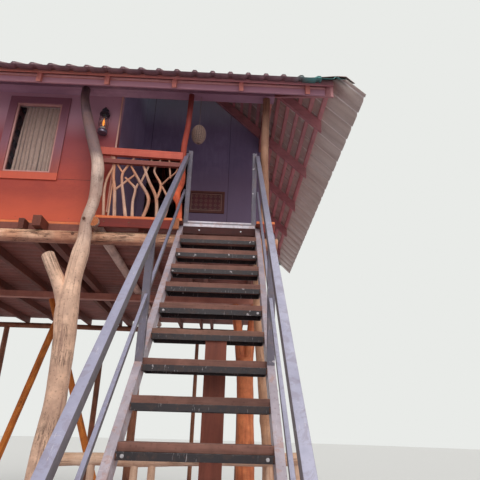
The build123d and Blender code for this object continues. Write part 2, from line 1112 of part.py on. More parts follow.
with BuildPart() as left_wall:
    add(block(left, left + wall, inside_front, inside_rear, deck, plate_top))
    for plane in left_windows:
        add(panel(plane, window_width, 0, window_height, -wall, wall), mode=Mode.SUBTRACT)
    add(end_plates.part, mode=Mode.SUBTRACT)
save(left_wall.part, "left_wall")

with BuildPart() as right_wall:
    add(block(right - wall, right, porch_back + wall, inside_rear, deck, plate_top))
    add(end_plates.part, mode=Mode.SUBTRACT)
save(right_wall.part, "right_wall")

with BuildPart() as porch_side_wall:
    add(
        side_profile(
            [
                (inside_front, deck),
                (porch_back + wall, deck),
                (porch_back + wall, front_roof(porch_back + wall) - rafter_depth),
                (inside_front, front_roof(inside_front) - rafter_depth),
            ],
            corner - wall,
            corner,
        )
    )
save(porch_side_wall.part, "porch_side_wall")

# Back wall of the porch, beside and over the open doorway
back_top = front_roof(porch_back) - rafter_depth
back_shoulder = roof_x + half_roof_x - (back_top + rafter_depth - eave) / side_fall
door_left = stair_middle + doorway_left
door_right = door_left + doorway_width
door_top = deck + doorway_height
with BuildPart() as porch_back_wall_sides:
    add(block(corner, door_left, porch_back, porch_back + wall, deck, back_top))
    add(
        front_profile(
            [
                (door_right, deck),
                (right, deck),
                (right, right_roof(right) - rafter_depth),
                (back_shoulder, back_top),
                (door_right, back_top),
            ],
            porch_back,
            porch_back + wall,
        )
    )
    add(side_plates.part, mode=Mode.SUBTRACT)
    add(hip_rafters.part, mode=Mode.SUBTRACT)
save(porch_back_wall_sides.part, "porch_back_wall_sides")

with BuildPart() as porch_back_wall_over_door:
    add(block(door_left, door_right, porch_back, porch_back + wall, door_top, back_top))
    add(hip_rafters.part, mode=Mode.SUBTRACT)
save(porch_back_wall_over_door.part, "porch_back_wall_over_door")

# Window trims, panes, architraves and curtains
with BuildPart() as window_trims:
    for plane in windows:
        add(ring(plane, window_width, 0, window_height, trim_width, trim_proud - trim_depth, trim_depth))
save(window_trims.part, "window_trims")

with BuildPart() as window_panes:
    for plane in windows:
        add(
            panel(
                plane,
                window_width - 2 * trim_width,
                trim_width,
                window_height - trim_width,
                -glass_set_back - glass,
                glass,
            )
        )
save(window_panes.part, "window_panes")

with BuildPart() as wall_trims:
    for plane in windows:
        add(
            ring(
                plane,
                window_width + 2 * architrave_width,
                -architrave_width,
                window_height + architrave_width,
                architrave_width,
                0,
                architrave_depth,
            )
        )
    add(
        block(
            corner - corner_trim_width,
            corner,
            front_wall_y - architrave_depth,
            front_wall_y,
            deck + corner_trim_bottom,
            plate_bottom - corner_trim_gap,
        )
    )
save(wall_trims.part, "wall_trims")

curtain_back = trim_proud - trim_depth - curtain_gap - curtain_depth
for name, plane in zip(("window_curtain", "left_window_curtain"), front_windows):
    curtain = panel(
        plane,
        window_width - 2 * curtain_side_gap,
        curtain_gap,
        window_height,
        curtain_back,
        curtain_depth,
    )
    save(curtain, name)

# Slim posts of the porch, standing on the deck
porch_rings = (
    (-450, 48, deck, 37),
    (-462, 38, 3851, 34),
    (-504, 30, 3975, 54),
    (-450, 24, 4110, 36),
    (-450, 20, 4299, 34),
    (-454, 20, 4566, 33),
    (-429, 60, 4915, 33),
    (-423, 120, plate_bottom, 34),
)
with BuildPart() as porch_post:
    add(log([(stair_middle + x, deck_edge + y, z, radius) for x, y, z, radius in porch_rings]))
    add(handrails.part, mode=Mode.SUBTRACT)
save(porch_post.part, "porch_post")

corner_rings = (
    (505, 140, deck, 52),
    (505, 140, 4178, 46),
    (495, 140, 4512, 47),
    (513, 140, plate_bottom, 45),
)
with BuildPart() as porch_corner_post:
    add(log([(stair_middle + x, deck_edge + y, z, radius) for x, y, z, radius in corner_rings]))
save(porch_corner_post.part, "porch_corner_post")

# Block on the edge board under the porch post
with BuildPart() as porch_post_block:
    add(
        block(
            stair_middle + block_left,
            stair_middle + block_left + block_width,
            edge_front - block_depth,
            edge_front,
            joist_top - block_height + floor_board / 2,
            joist_top + floor_board / 2,
        )
    )
    add(floor_boards.part, mode=Mode.SUBTRACT)
    add(stringers.part, mode=Mode.SUBTRACT)
save(porch_post_block.part, "porch_post_block")

# Crooked branches of the balcony: rings as (x, height, radius)
branch_rings = (
    ((-1270, 0, 20), (-1300, 290, 18), (-1290, 460, 16), (-1240, 620, 14), (-1238, 745, 13)),
    ((-1220, 0, 13), (-1222, 240, 11), (-1220, 400, 9)),
    ((-1150, 0, 25), (-1190, 340, 23), (-1220, 490, 19), (-1230, 700, 16)),
    ((-1180, 330, 17), (-1080, 430, 15), (-970, 540, 12)),
    ((-1130, 555, 13), (-1200, 660, 14), (-1280, 755, 15)),
    ((-1030, 0, 23), (-1090, 290, 20), (-1120, 440, 18), (-1120, 550, 18), (-1010, 745, 14)),
    ((-958, 0, 24), (-970, 190, 20), (-960, 350, 18), (-1020, 420, 16), (-1090, 490, 14)),
    ((-965, 330, 15), (-948, 375, 15), (-938, 415, 13)),
    ((-840, 0, 24), (-800, 230, 22), (-920, 440, 20), (-1040, 640, 15)),
    ((-905, 430, 15), (-860, 580, 14), (-810, 735, 12)),
    ((-690, 0, 24), (-720, 250, 22), (-820, 460, 19), (-915, 690, 15)),
    ((-710, 230, 18), (-680, 410, 17), (-770, 590, 14), (-708, 735, 12)),
    ((-680, 400, 13), (-600, 500, 12), (-520, 590, 10), (-500, 700, 9)),
    ((-580, 500, 11), (-610, 735, 13)),
    ((-610, 0, 20), (-580, 210, 17), (-665, 395, 13)),
)
with BuildPart() as balcony_branches:
    for stations in branch_rings:
        add(log([(stair_middle + x, rail_line, deck + h, radius) for x, h, radius in stations]))
    add(porch_post.part, mode=Mode.SUBTRACT)
save(balcony_branches.part, "balcony_branches")

# Two rails, coped to the posts and let in over the branches
with BuildPart() as balcony_rails:
    for height, fall, depth in (
        (top_rail_height, top_rail_fall, top_rail_depth),
        (second_rail_height, second_rail_fall, second_rail_depth),
    ):
        add(
            front_profile(
                [
                    (stair_middle + rail_left, deck + height),
                    (stair_middle + rail_right, deck + height - fall),
                    (stair_middle + rail_right, deck + height - fall - depth),
                    (stair_middle + rail_left, deck + height - depth),
                ],
                rail_line - rail_width,
                rail_line,
            )
        )
    add(balcony_branches.part, mode=Mode.SUBTRACT)
    add(forked_log_post.part, mode=Mode.SUBTRACT)
    add(porch_post.part, mode=Mode.SUBTRACT)
save(balcony_rails.part, "balcony_rails")

# Lantern on the front wall
lantern_x = stair_middle + lantern_place
lantern_y = front_wall_y - lantern_wall_gap - lantern_radius
lantern_z = deck + lantern_bottom
glass_z = lantern_z + lantern_base
cap_z = glass_z + lantern_glass_height
lantern_top = cap_z + lantern_cap
with BuildPart() as lantern_body:
    with BuildSketch(Plane.XY.offset(lantern_z)):
        with Locations((lantern_x, lantern_y)):
            Circle(lantern_radius)
    extrude(amount=lantern_base)
    add(
        log(
            [
                (lantern_x, lantern_y, cap_z, lantern_radius),
                (lantern_x, lantern_y, cap_z + lantern_cap / 3, lantern_radius),
                (lantern_x, lantern_y, lantern_top, lantern_radius / 4),
            ]
        )
    )
    for side in (-1, 1):
        rod_x = lantern_x + side * (lantern_radius - 2 * lantern_rod_radius)
        with BuildSketch(Plane.XY.offset(glass_z)):
            with Locations((rod_x, lantern_y)):
                Circle(lantern_rod_radius)
        extrude(amount=lantern_glass_height)
    with BuildSketch(Plane.XZ.offset(-front_wall_y)):
        with Locations((lantern_x, cap_z + lantern_arm / 2)):
            Rectangle(lantern_arm, lantern_arm)
    extrude(amount=lantern_wall_gap + lantern_radius)
save(lantern_body.part, "lantern_body")

with BuildPart() as lantern_glass:
    with BuildSketch(Plane.XY.offset(glass_z)):
        with Locations((lantern_x, lantern_y)):
            Circle(lantern_glass_radius)
    extrude(amount=lantern_glass_height)
save(lantern_glass.part, "lantern_glass")

# Woven hanging on its string
woven_x = stair_middle + woven_place
woven_y = deck_edge + woven_set_back
woven_z = deck + woven_middle
with BuildPart() as woven_hanging:
    with BuildSketch(Plane(origin=(woven_x, woven_y, woven_z), x_dir=(1, 0, 0), z_dir=(0, -1, 0))):
        Ellipse(woven_radius, woven_half_height)
        Rectangle(
            2 * woven_radius,
            2 * woven_half_height,
            align=(Align.MAX, Align.CENTER),
            mode=Mode.SUBTRACT,
        )
    revolve(axis=Axis((woven_x, woven_y, woven_z), (0, 0, 1)))
    with BuildSketch(Plane.XY.offset(woven_z)):
        with Locations((woven_x, woven_y)):
            Circle(string_radius)
    extrude(amount=plate_bottom - woven_z)
save(woven_hanging.part, "woven_hanging")

# Framed picture on the back wall of the porch
picture = Plane(
    origin=(
        stair_middle + picture_left + picture_width / 2,
        porch_back,
        deck + picture_bottom,
    ),
    x_dir=(1, 0, 0),
    z_dir=(0, -1, 0),
)
with BuildPart() as picture_frame:
    add(ring(picture, picture_width, 0, picture_height, picture_rim, 0, picture_depth))
save(picture_frame.part, "picture_frame")

with BuildPart() as picture_face:
    add(
        panel(
            picture,
            picture_width - 2 * picture_rim,
            picture_rim,
            picture_height - picture_rim,
            0,
            picture_panel,
        )
    )
save(picture_face.part, "picture_face")
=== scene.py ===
"""Looks of a timber house on posts with a hipped metal roof, a porch and a steel stair.

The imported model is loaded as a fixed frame. Everything here is in metres in that
frame: X to the right along the front, Y from the stair towards the house, Z up.
"""

from __future__ import annotations

import logging
import math
from collections.abc import Callable, Sequence
from dataclasses import dataclass
from enum import Enum

import bmesh
import bpy
from mathutils import Matrix, Vector, noise


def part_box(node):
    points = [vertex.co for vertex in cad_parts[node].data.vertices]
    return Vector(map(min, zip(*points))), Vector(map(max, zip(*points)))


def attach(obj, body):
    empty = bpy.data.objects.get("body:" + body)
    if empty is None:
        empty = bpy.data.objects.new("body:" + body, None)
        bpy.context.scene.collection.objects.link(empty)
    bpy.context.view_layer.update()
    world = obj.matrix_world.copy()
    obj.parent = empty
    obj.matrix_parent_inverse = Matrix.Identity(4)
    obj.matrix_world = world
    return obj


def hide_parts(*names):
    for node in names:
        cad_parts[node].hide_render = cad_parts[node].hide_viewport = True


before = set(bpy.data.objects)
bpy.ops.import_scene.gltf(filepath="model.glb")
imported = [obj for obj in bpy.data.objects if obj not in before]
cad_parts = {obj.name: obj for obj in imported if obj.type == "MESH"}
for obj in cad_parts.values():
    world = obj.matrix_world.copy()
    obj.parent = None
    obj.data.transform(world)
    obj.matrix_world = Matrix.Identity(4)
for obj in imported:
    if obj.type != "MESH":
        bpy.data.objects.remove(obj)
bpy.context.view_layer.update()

log = logging.getLogger("house")

Colour = tuple[float, float, float, float]
Station = tuple[float, float, float, float]
Ring = tuple[float, float, float]
Band = tuple[int, float, float, float, str, float]
FAR = 99.0


# --------------------------------------------------------------------------- levels


@dataclass(frozen=True)
class Levels:
    """The main levels and lines of the house, repeated from the part's named sizes."""

    middle: float = -0.06
    deck: float = 3.66
    joist_top: float = 3.63
    beam_top: float = 3.51
    edge: float = 1.3245
    landing: float = 1.4435
    front_beam: float = 1.4505
    front_wall: float = 1.5505
    middle_beam: float = 4.1815
    rear_beam: float = 6.8695
    rear: float = 6.9245
    left: float = -4.89
    right: float = 0.55
    corner: float = -1.344
    plate_bottom: float = 5.391
    eave: float = 5.28
    roof_x: float = -2.17
    roof_y: float = 4.1625
    half_x: float = 3.353
    half_y: float = 3.188
    front_fall: float = math.tan(math.radians(36))
    side_fall: float = math.tan(math.radians(43))
    sheet_out_x: float = 3.683
    sheet_out_y: float = 3.338
    risers: int = 15
    rise: float = 0.244
    run: float = 0.256
    tread_depth: float = 0.185
    half_stair: float = 0.4

    @property
    def half_ridge(self) -> float:
        """Half the length of the ridge."""
        return self.hip_u(0.0)

    def hip_u(self, v: float) -> float:
        """How far out along X the hip line is at a distance along Y."""
        return self.half_x - (self.half_y - v) * self.front_fall / self.side_fall

    def tread_front(self, number: int) -> float:
        """The front of a tread, counted from the ground."""
        return self.landing - (self.risers - number) * self.run

    def nosing(self, y: float) -> float:
        """The height of the line through the front edges of the treads."""
        return self.deck + (y - self.landing) * self.rise / self.run


LEVELS = Levels()


# ------------------------------------------------------------------------ node trees


def paint(code: str) -> Colour:
    """The linear colour of a paint code.

    Args:
        code: Six hexadecimal digits, as on a colour card.

    Returns:
        The colour as a shader socket takes it.
    """
    channels = [int(code[i : i + 2], 16) / 255 for i in (0, 2, 4)]
    linear = [c / 12.92 if c <= 0.04045 else ((c + 0.055) / 1.055) ** 2.4 for c in channels]
    return (linear[0], linear[1], linear[2], 1.0)


@dataclass(frozen=True)
class Value:
    """A socket's value that sums can be written with."""

    tree: Tree
    socket: bpy.types.NodeSocket

    def __add__(self, other: object) -> Value:
        """This value plus another."""
        return self.tree.math("ADD", self, other)

    def __sub__(self, other: object) -> Value:
        """This value less another."""
        return self.tree.math("SUBTRACT", self, other)

    def __rsub__(self, other: float) -> Value:
        """A number less this value."""
        return self.tree.math("SUBTRACT", other, self)

    def __mul__(self, other: object) -> Value:
        """This value times another."""
        return self.tree.math("MULTIPLY", self, other)

    def __truediv__(self, other: object) -> Value:
        """This value over another."""
        return self.tree.math("DIVIDE", self, other)

    def __abs__(self) -> Value:
        """This value without its sign."""
        return self.tree.math("ABSOLUTE", self)


@dataclass(frozen=True)
class Tree:
    """Adds nodes to one node tree and links them."""

    tree: bpy.types.NodeTree

    def node(self, kind: str, feeds: dict | None = None, **settings: object) -> bpy.types.Node:
        """Adds one node.

        Args:
            kind: Blender's name of the node type.
            feeds: Input name or number to a plain value, a value of the tree or a socket.
            **settings: Properties of the node itself.

        Returns:
            The new node.
        """
        made = self.tree.nodes.new(kind)
        for key, value in settings.items():
            setattr(made, key, value)
        for key, value in (feeds or {}).items():
            source = value.socket if isinstance(value, Value) else value
            if isinstance(source, bpy.types.NodeSocket):
                self.tree.links.new(source, made.inputs[key])
            else:
                made.inputs[key].default_value = source
        return made

    def value(self, kind: str, feeds: dict | None = None, output: int | str = 0, **settings: object) -> Value:
        """Adds one node and takes one of its outputs."""
        return Value(self, self.node(kind, feeds, **settings).outputs[output])

    def coordinates(self, kind: str) -> Value:
        """The coordinates of one kind."""
        return self.value("ShaderNodeTexCoord", output=kind)

    def attribute(self, name: str) -> Value:
        """A number that the mesh carries."""
        return self.value("ShaderNodeAttribute", output="Fac", attribute_name=name)

    def math(self, operation: str, *terms: object) -> Value:
        """The result of one sum."""
        return self.value("ShaderNodeMath", dict(enumerate(terms)), operation=operation)

    def mix(self, share: object, a: object, b: object) -> Value:
        """Two colours mixed by a share."""
        return self.value("ShaderNodeMix", {0: share, 6: a, 7: b}, 2, data_type="RGBA")

    def step(self, value: object, low: float, high: float) -> Value:
        """A smooth step from 0 at low to 1 at high."""
        return self.value("ShaderNodeMapRange", {0: value, 1: low, 2: high}, interpolation_type="SMOOTHSTEP")

    def noise(
        self, vector: object, scale: object, detail: float = 3.0, rough: float = 0.55, twist: float = 0.0
    ) -> Value:
        """A noise value round 0.5."""
        feeds = {"Vector": vector, "Scale": scale, "Detail": detail, "Roughness": rough, "Distortion": twist}
        return self.value("ShaderNodeTexNoise", feeds)

    def place(self, vector: object, scale: Ring = (1, 1, 1), turn: Ring = (0, 0, 0), move: Ring = (0, 0, 0)) -> Value:
        """A vector moved, turned and scaled."""
        feeds = {"Vector": vector, "Scale": scale, "Rotation": turn, "Location": move}
        return self.value("ShaderNodeMapping", feeds)

    def apart(self, vector: object) -> list[Value]:
        """The three numbers of a vector."""
        return [Value(self, socket) for socket in self.node("ShaderNodeSeparateXYZ", {0: vector}).outputs]

    def coat(self, colour: object, *layers: tuple[Value, float, str]) -> Value:
        """Lays tones over a colour.

        Args:
            colour: The colour under them.
            *layers: For each its mask, its share and its tone.

        Returns:
            The colour with the tones on it.
        """
        for mask, share, tone in layers:
            colour = self.mix(mask * share, colour, paint(tone))
        return colour

    def banded(self, place: Value, colour: object, bands: Sequence[Band]) -> Value:
        """Lays bands of other tones over a colour. Some finishes use them for painted light and shade by height or
        along X, others for tones that the thing has.

        Args:
            place: The object coordinates.
            colour: The colour under the bands.
            bands: For each its axis, its two ends, half the width of its soft rim, its tone and its share.

        Returns:
            The colour with the bands on it.
        """
        for axis, low, high, soft, tone, share in bands:
            along = self.apart(place)[axis]
            inside = self.step(along, low - soft, low + soft) * self.step(along, high + soft, high - soft)
            colour = self.coat(colour, (inside, share, tone))
        return colour

    def bump(self, height: Value, strength: float, reach: float, soft: float = 0.0) -> Value:
        """A bump for a shader.

        Args:
            height: The height.
            strength: Strength of the bump, from 0 to 1.
            reach: How deep the bump is, in metres.
            soft: Radius to which sharp edges are rounded, in metres, or 0.

        Returns:
            The normal.
        """
        feeds = {"Height": height, "Strength": strength, "Distance": reach}
        if soft:
            feeds["Normal"] = self.value("ShaderNodeBevel", {"Radius": soft}, samples=4)
        return self.value("ShaderNodeBump", feeds)


@dataclass(frozen=True)
class Effect:
    """A shared effect: a node group that is built once and placed in each material with its own values."""

    fill: Callable[..., Sequence[Value]]
    inputs: dict[str, float | None]
    outputs: Sequence[str]

    def build(self) -> bpy.types.NodeTree:
        """Makes the group. An input without a default is a vector."""
        group = bpy.data.node_groups.new(self.fill.__name__, "ShaderNodeTree")
        for label, value in self.inputs.items():
            kind = "NodeSocketVector" if value is None else "NodeSocketFloat"
            socket = group.interface.new_socket(name=label, in_out="INPUT", socket_type=kind)
            if value is not None:
                socket.default_value = value
        for label in self.outputs:
            group.interface.new_socket(name=label, in_out="OUTPUT", socket_type="NodeSocketFloat")
        tree = Tree(group)
        entry = tree.node("NodeGroupInput").outputs
        values = self.fill(tree, *(Value(tree, entry[label]) for label in self.inputs))
        tree.node("NodeGroupOutput", dict(zip(self.outputs, values)))
        return group

    def __call__(self, tree: Tree, **feeds: object) -> list[Value]:
        """Places the effect.

        Args:
            tree: The tree that it goes into.
            **feeds: Input name to its value.

        Returns:
            Its outputs.
        """
        group = bpy.data.node_groups.get(self.fill.__name__) or self.build()
        return [Value(tree, socket) for socket in tree.node("ShaderNodeGroup", feeds, node_tree=group).outputs]


def wood_grain(tree: Tree, vector: Value, rings: Value, fibres: Value) -> tuple[Value, ...]:
    """Wood grain along the vector's X: figure, fibres and a height."""
    waves = tree.math("SINE", tree.noise(vector, 3.2, 2.0, 0.45, 0.3) * rings * 6.283)
    figure = tree.math("MULTIPLY_ADD", waves, 0.5, 0.5)
    fibre = tree.noise(vector, fibres, 4.0, 0.7)
    return figure, tree.step(fibre, 0.3, 0.7), tree.math("MULTIPLY_ADD", figure, 0.25, fibre)


def weathering(tree: Tree, vector: Value, size: Value, seed: Value) -> tuple[Value, ...]:
    """Weathering: broad patches, small specks and streaks that run down."""
    shift = tree.value("ShaderNodeCombineXYZ", {0: seed, 1: seed, 2: seed})
    vector = tree.value("ShaderNodeVectorMath", {0: vector, 1: shift}, operation="ADD")
    patches = tree.step(tree.noise(vector, size, 5.0, 0.62, 0.4), 0.34, 0.68)
    cells = tree.value("ShaderNodeTexVoronoi", {"Vector": vector, "Scale": 34.0}, "Distance")
    specks = 1.0 - tree.step(cells - tree.noise(vector, 9.0, 2.0) * 0.34, -0.05, 0.07)
    streaks = tree.step(tree.noise(tree.place(vector, (9.0, 9.0, 0.5)), 1.6, 4.0, 0.6), 0.42, 0.72)
    return patches, specks, streaks


def edge_wear(tree: Tree, vector: Value, radius: Value) -> tuple[Value, ...]:
    """Edge wear: 1 on an outer edge, 0 on a flat face."""
    rounded = tree.value("ShaderNodeBevel", {"Radius": radius}, samples=4)
    plain = tree.value("ShaderNodeNewGeometry", output="Normal")
    dot = tree.value("ShaderNodeVectorMath", {0: rounded, 1: plain}, "Value", operation="DOT_PRODUCT")
    return (tree.step(1.0 - dot, 0.01, 0.22) * tree.step(tree.noise(vector, 22.0, 4.0, 0.65), 0.36, 0.62),)


def board_seams(tree: Tree, across: Value, width: Value, gap: Value) -> tuple[Value, ...]:
    """Boards side by side across a coordinate: their seams, and a shade for each."""
    share = across / width
    cell = tree.math("FLOOR", share)
    part = (share - cell) * width
    near = tree.math("MINIMUM", part, width - part) / gap
    shade = tree.value("ShaderNodeTexWhiteNoise", {"W": cell}, "Value", noise_dimensions="1D")
    return 1.0 - tree.step(near, 0.4, 1.0), shade


def scratch_marks(tree: Tree, vector: Value) -> tuple[Value, ...]:
    """Fine scratches and rubbed places on painted metal."""
    first = tree.noise(tree.place(vector, (60, 4, 4), (0.2, 0.5, 0.1)), 3.0, 3.0, 0.6, 0.2)
    second = tree.noise(tree.place(vector, (5, 70, 5), (0.5, 0.1, 0.6)), 3.0, 3.0, 0.6, 0.2)
    lines = tree.math("MAXIMUM", tree.step(first, 0.66, 0.7), tree.step(second, 0.67, 0.71))
    return lines, tree.step(tree.noise(vector, 14.0, 6.0, 0.72, 0.6), 0.5, 0.6)


def thread_weave(tree: Tree, vector: Value, threads: Value) -> tuple[Value, ...]:
    """Threads that cross over and under, from a vector in metres."""
    warp, weft = (tree.math("SINE", along * threads) for along in tree.apart(vector)[:2])
    return warp * weft, tree.noise(tree.place(vector, (40, 2.0, 1)), 6.0, 4.0, 0.6)


GRAIN = Effect(wood_grain, {"Vector": None, "Rings": 9.0, "Fibres": 55.0}, ("Figure", "Fibre", "Height"))
WEATHER = Effect(weathering, {"Vector": None, "Size": 2.0, "Seed": 0.0}, ("Patches", "Specks", "Streaks"))
EDGES = Effect(edge_wear, {"Vector": None, "Radius": 0.006}, ("Edge",))
SEAMS = Effect(board_seams, {"Across": 0.0, "Width": 0.14, "Gap": 0.004}, ("Seam", "Shade"))
SCRATCHES = Effect(scratch_marks, {"Vector": None}, ("Scratch", "Rub"))
WEAVE = Effect(thread_weave, {"Vector": None, "Threads": 700.0}, ("Height", "Slub"))


def material_of(name: str, sockets: Callable[[Tree], dict[str, object]]) -> bpy.types.Material:
    """Builds a material.

    Args:
        name: What it is called.
        sockets: Fills its tree and gives what goes into the Principled shader.

    Returns:
        The new material.
    """
    material = bpy.data.materials.new(name)
    material.use_nodes = True
    material.node_tree.nodes.clear()
    tree = Tree(material.node_tree)
    shader = tree.node("ShaderNodeBsdfPrincipled", sockets(tree))
    tree.node("ShaderNodeOutputMaterial", {"Surface": shader.outputs[0]})
    return material


class Grain(Enum):
    """The way that the grain runs: how object coordinates are turned so that it is X."""

    X = (0.0, 0.0, 0.0)
    Y = (0.0, 0.0, -math.pi / 2)
    Z = (0.0, math.pi / 2, 0.0)


@dataclass(frozen=True)
class Finish:
    """A finish. Its material is built when it is first used."""

    name: str

    def sockets(self, tree: Tree) -> dict[str, object]:
        """Fills the material's tree.

        Args:
            tree: The tree.

        Returns:
            What goes into each input of the Principled shader.
        """
        raise NotImplementedError

    def __call__(self) -> bpy.types.Material:
        """Builds the material, or finds it if it is built already."""
        return bpy.data.materials.get(self.name) or material_of(self.name, self.sockets)


@dataclass(frozen=True)
class Timber(Finish):
    """Sawn timber or sheet wood, stained or worn, with its grain along one axis."""

    base: str
    dark: str
    light: str
    grain: Grain = Grain.X
    figure: float = 0.35
    fibre: float = 0.35
    patches: float = 0.4
    worn: str = "d9a78c"
    wear: float = 0.35
    rough: float = 0.6
    bump: float = 0.35
    stretch: float = 0.09
    rings: float = 9.0
    soft: float = 0.004
    boards: float = 0.0
    boards_from: float = 0.0
    across: int = 2
    streaks: float = 0.25
    spots: float = 0.12
    seed: float = 0.0
    bands: Sequence[Band] = ()

    def sockets(self, tree: Tree) -> dict[str, object]:
        """Lays grain, weathering, bands, board seams and worn edges."""
        place = tree.coordinates("Object")
        turned = tree.place(place, turn=self.grain.value)
        along = tree.place(turned, (self.stretch, 1, 1), move=(self.seed, 0, 0))
        figure, fibre, height = GRAIN(tree, Vector=along, Rings=self.rings)
        patches, specks, streaks = WEATHER(tree, Vector=place, Seed=self.seed)
        edge = EDGES(tree, Vector=place, Radius=0.008)[0]
        colour = tree.coat(
            paint(self.base), (figure, self.figure, self.dark), (fibre, self.fibre, self.light),
            (patches, self.patches, self.dark), (streaks, self.streaks, self.dark), (specks, self.spots, "2a1712"),
        )
        colour = tree.banded(place, colour, self.bands)
        if self.boards:
            across = tree.apart(place)[self.across] - self.boards_from
            seam, shade = SEAMS(tree, Across=across, Width=self.boards)
            colour = tree.coat(colour, (shade, 0.35, self.dark), (seam, 0.85, "1c0f0d"))
            height = height - seam * 3.0
        return {
            "Base Color": tree.coat(colour, (edge, self.wear, self.worn)),
            "Roughness": tree.math("MULTIPLY_ADD", fibre, 0.16, self.rough - 0.08),
            "Specular IOR Level": 0.3,
            "Normal": tree.bump(height, self.bump, 0.004, self.soft),
        }


@dataclass(frozen=True)
class Log(Finish):
    """Debarked log wood whose grain follows the piece's own UV map, in metres."""

    base: str
    dark: str
    light: str
    specks: float = 0.6
    patches: float = 0.45
    cracks: float = 0.6
    rough: float = 0.68
    bump: float = 0.6
    fibre: float = 0.4
    warm: str = "b8683c"
    warmth: float = 0.3
    seed: float = 0.0
    bands: Sequence[Band] = ()

    def sockets(self, tree: Tree) -> dict[str, object]:
        """Lays grain, warm and dark patches, specks, cracks and knots."""
        place = tree.coordinates("Object")
        swapped = tree.place(tree.coordinates("UV"), turn=(0, 0, -math.pi / 2))
        figure, fibre, height = GRAIN(tree, Vector=tree.place(swapped, (0.1, 1, 1)), Rings=5.0, Fibres=48.0)
        patches, specks, _ = WEATHER(tree, Vector=place, Size=3.4, Seed=self.seed)
        fine = WEATHER(tree, Vector=tree.place(place, (0.55, 0.55, 0.55)), Size=9.0, Seed=self.seed + 4)
        crack = tree.noise(tree.place(swapped, (0.9, 16, 1)), 2.2, 5.0, 0.62, 0.7)
        gate = tree.step(tree.noise(place, 2.4, 2.0), 0.48, 0.62)
        crack = (1.0 - tree.step(abs(crack - 0.5), 0.0, 0.03)) * gate
        tint = tree.noise(tree.place(place, (1, 1, 0.5), move=(self.seed, 0, 0)), 4.5, 2.0)
        streak = tree.noise(tree.place(swapped, (0.5, 9, 1), move=(self.seed, 3, 0)), 3.0, 4.0, 0.6)
        colour = tree.coat(
            paint(self.base), (figure, 0.28, self.light), (fibre, self.fibre, self.light),
            (tree.step(tint, 0.42, 0.66), self.warmth, self.warm),
        )
        colour = tree.coat(
            tree.banded(place, colour, self.bands), (patches, self.patches, self.dark), (fine[0], 0.45, self.dark),
            (tree.step(streak, 0.5, 0.7), 0.6, self.dark), (specks, self.specks * 0.6, "4a2e26"),
            (fine[1], self.specks * 0.4, "3c241d"), (crack, self.cracks, "35201a"),
            (tree.attribute("knot"), 0.85, "3a211a"),
        )
        return {
            "Base Color": colour,
            "Roughness": tree.math("MULTIPLY_ADD", fibre, 0.14, self.rough - 0.07),
            "Specular IOR Level": 0.3,
            "Normal": tree.bump(height - crack * 0.8 - specks * 0.4, self.bump, 0.006),
        }


@dataclass(frozen=True)
class EndGrain(Finish):
    """The sawn end of a log: rings and checks round the middle of its own UV map."""

    base: str
    dark: str

    def sockets(self, tree: Tree) -> dict[str, object]:
        spot = tree.coordinates("UV")
        length = tree.value("ShaderNodeVectorMath", {0: spot}, "Value", operation="LENGTH")
        rings = tree.math("SINE", (length + tree.noise(spot, 18.0, 3.0) * 0.02) * 900.0)
        x, y, _ = tree.apart(spot)
        check = 1.0 - tree.step(abs(tree.math("SINE", tree.math("ARCTAN2", y, x) * 2.5)), 0.0, 0.09)
        check = check * tree.step(tree.noise(spot, 30.0, 2.0), 0.4, 0.6)
        colour = tree.mix(tree.step(rings, -1.0, 1.0), paint(self.base), paint(self.dark))
        stain = tree.step(tree.noise(spot, 25.0, 5.0), 0.4, 0.7)
        return {
            "Base Color": tree.coat(colour, (check, 0.8, "2c1611"), (stain, 0.5, self.dark)),
            "Roughness": 0.78,
            "Normal": tree.bump(rings - check * 4.0, 0.4, 0.002),
        }


@dataclass(frozen=True)
class Steel(Finish):
    """Painted steel with scratches, rubbed places and worn edges."""

    base: str
    rub: str
    shade: str
    metal: float = 0.15
    rough: float = 0.48
    rubbing: float = 0.5
    soft: float = 0.004
    dirt: float = 0.3
    specks: float = 0.35
    bands: Sequence[Band] = ()

    def sockets(self, tree: Tree) -> dict[str, object]:
        """Lays dirt, bands, rubbed places, scratches, bare edges and rust specks."""
        place = tree.coordinates("Object")
        scratch, rub = SCRATCHES(tree, Vector=place)
        patches, specks, streaks = WEATHER(tree, Vector=place, Size=3.0)
        edge = EDGES(tree, Vector=place, Radius=0.005)[0]
        rubbed = rub * self.rubbing
        colour = tree.coat(
            paint(self.base), (patches, self.dirt, self.shade), (streaks, self.dirt * 0.7, self.shade)
        )
        colour = tree.mix(rubbed, tree.banded(place, colour, self.bands), paint(self.rub))
        return {
            "Base Color": tree.coat(
                colour, (scratch, 0.45, "e6dcdc"), (edge, 0.25, "d8cccc"), (specks, self.specks, "5d3a30")
            ),
            "Metallic": self.metal,
            "Roughness": tree.math("MULTIPLY_ADD", rubbed, 0.3, self.rough),
            "Normal": tree.bump(tree.noise(place, 60.0) - rubbed * 0.6, 0.18, 0.002, self.soft),
        }


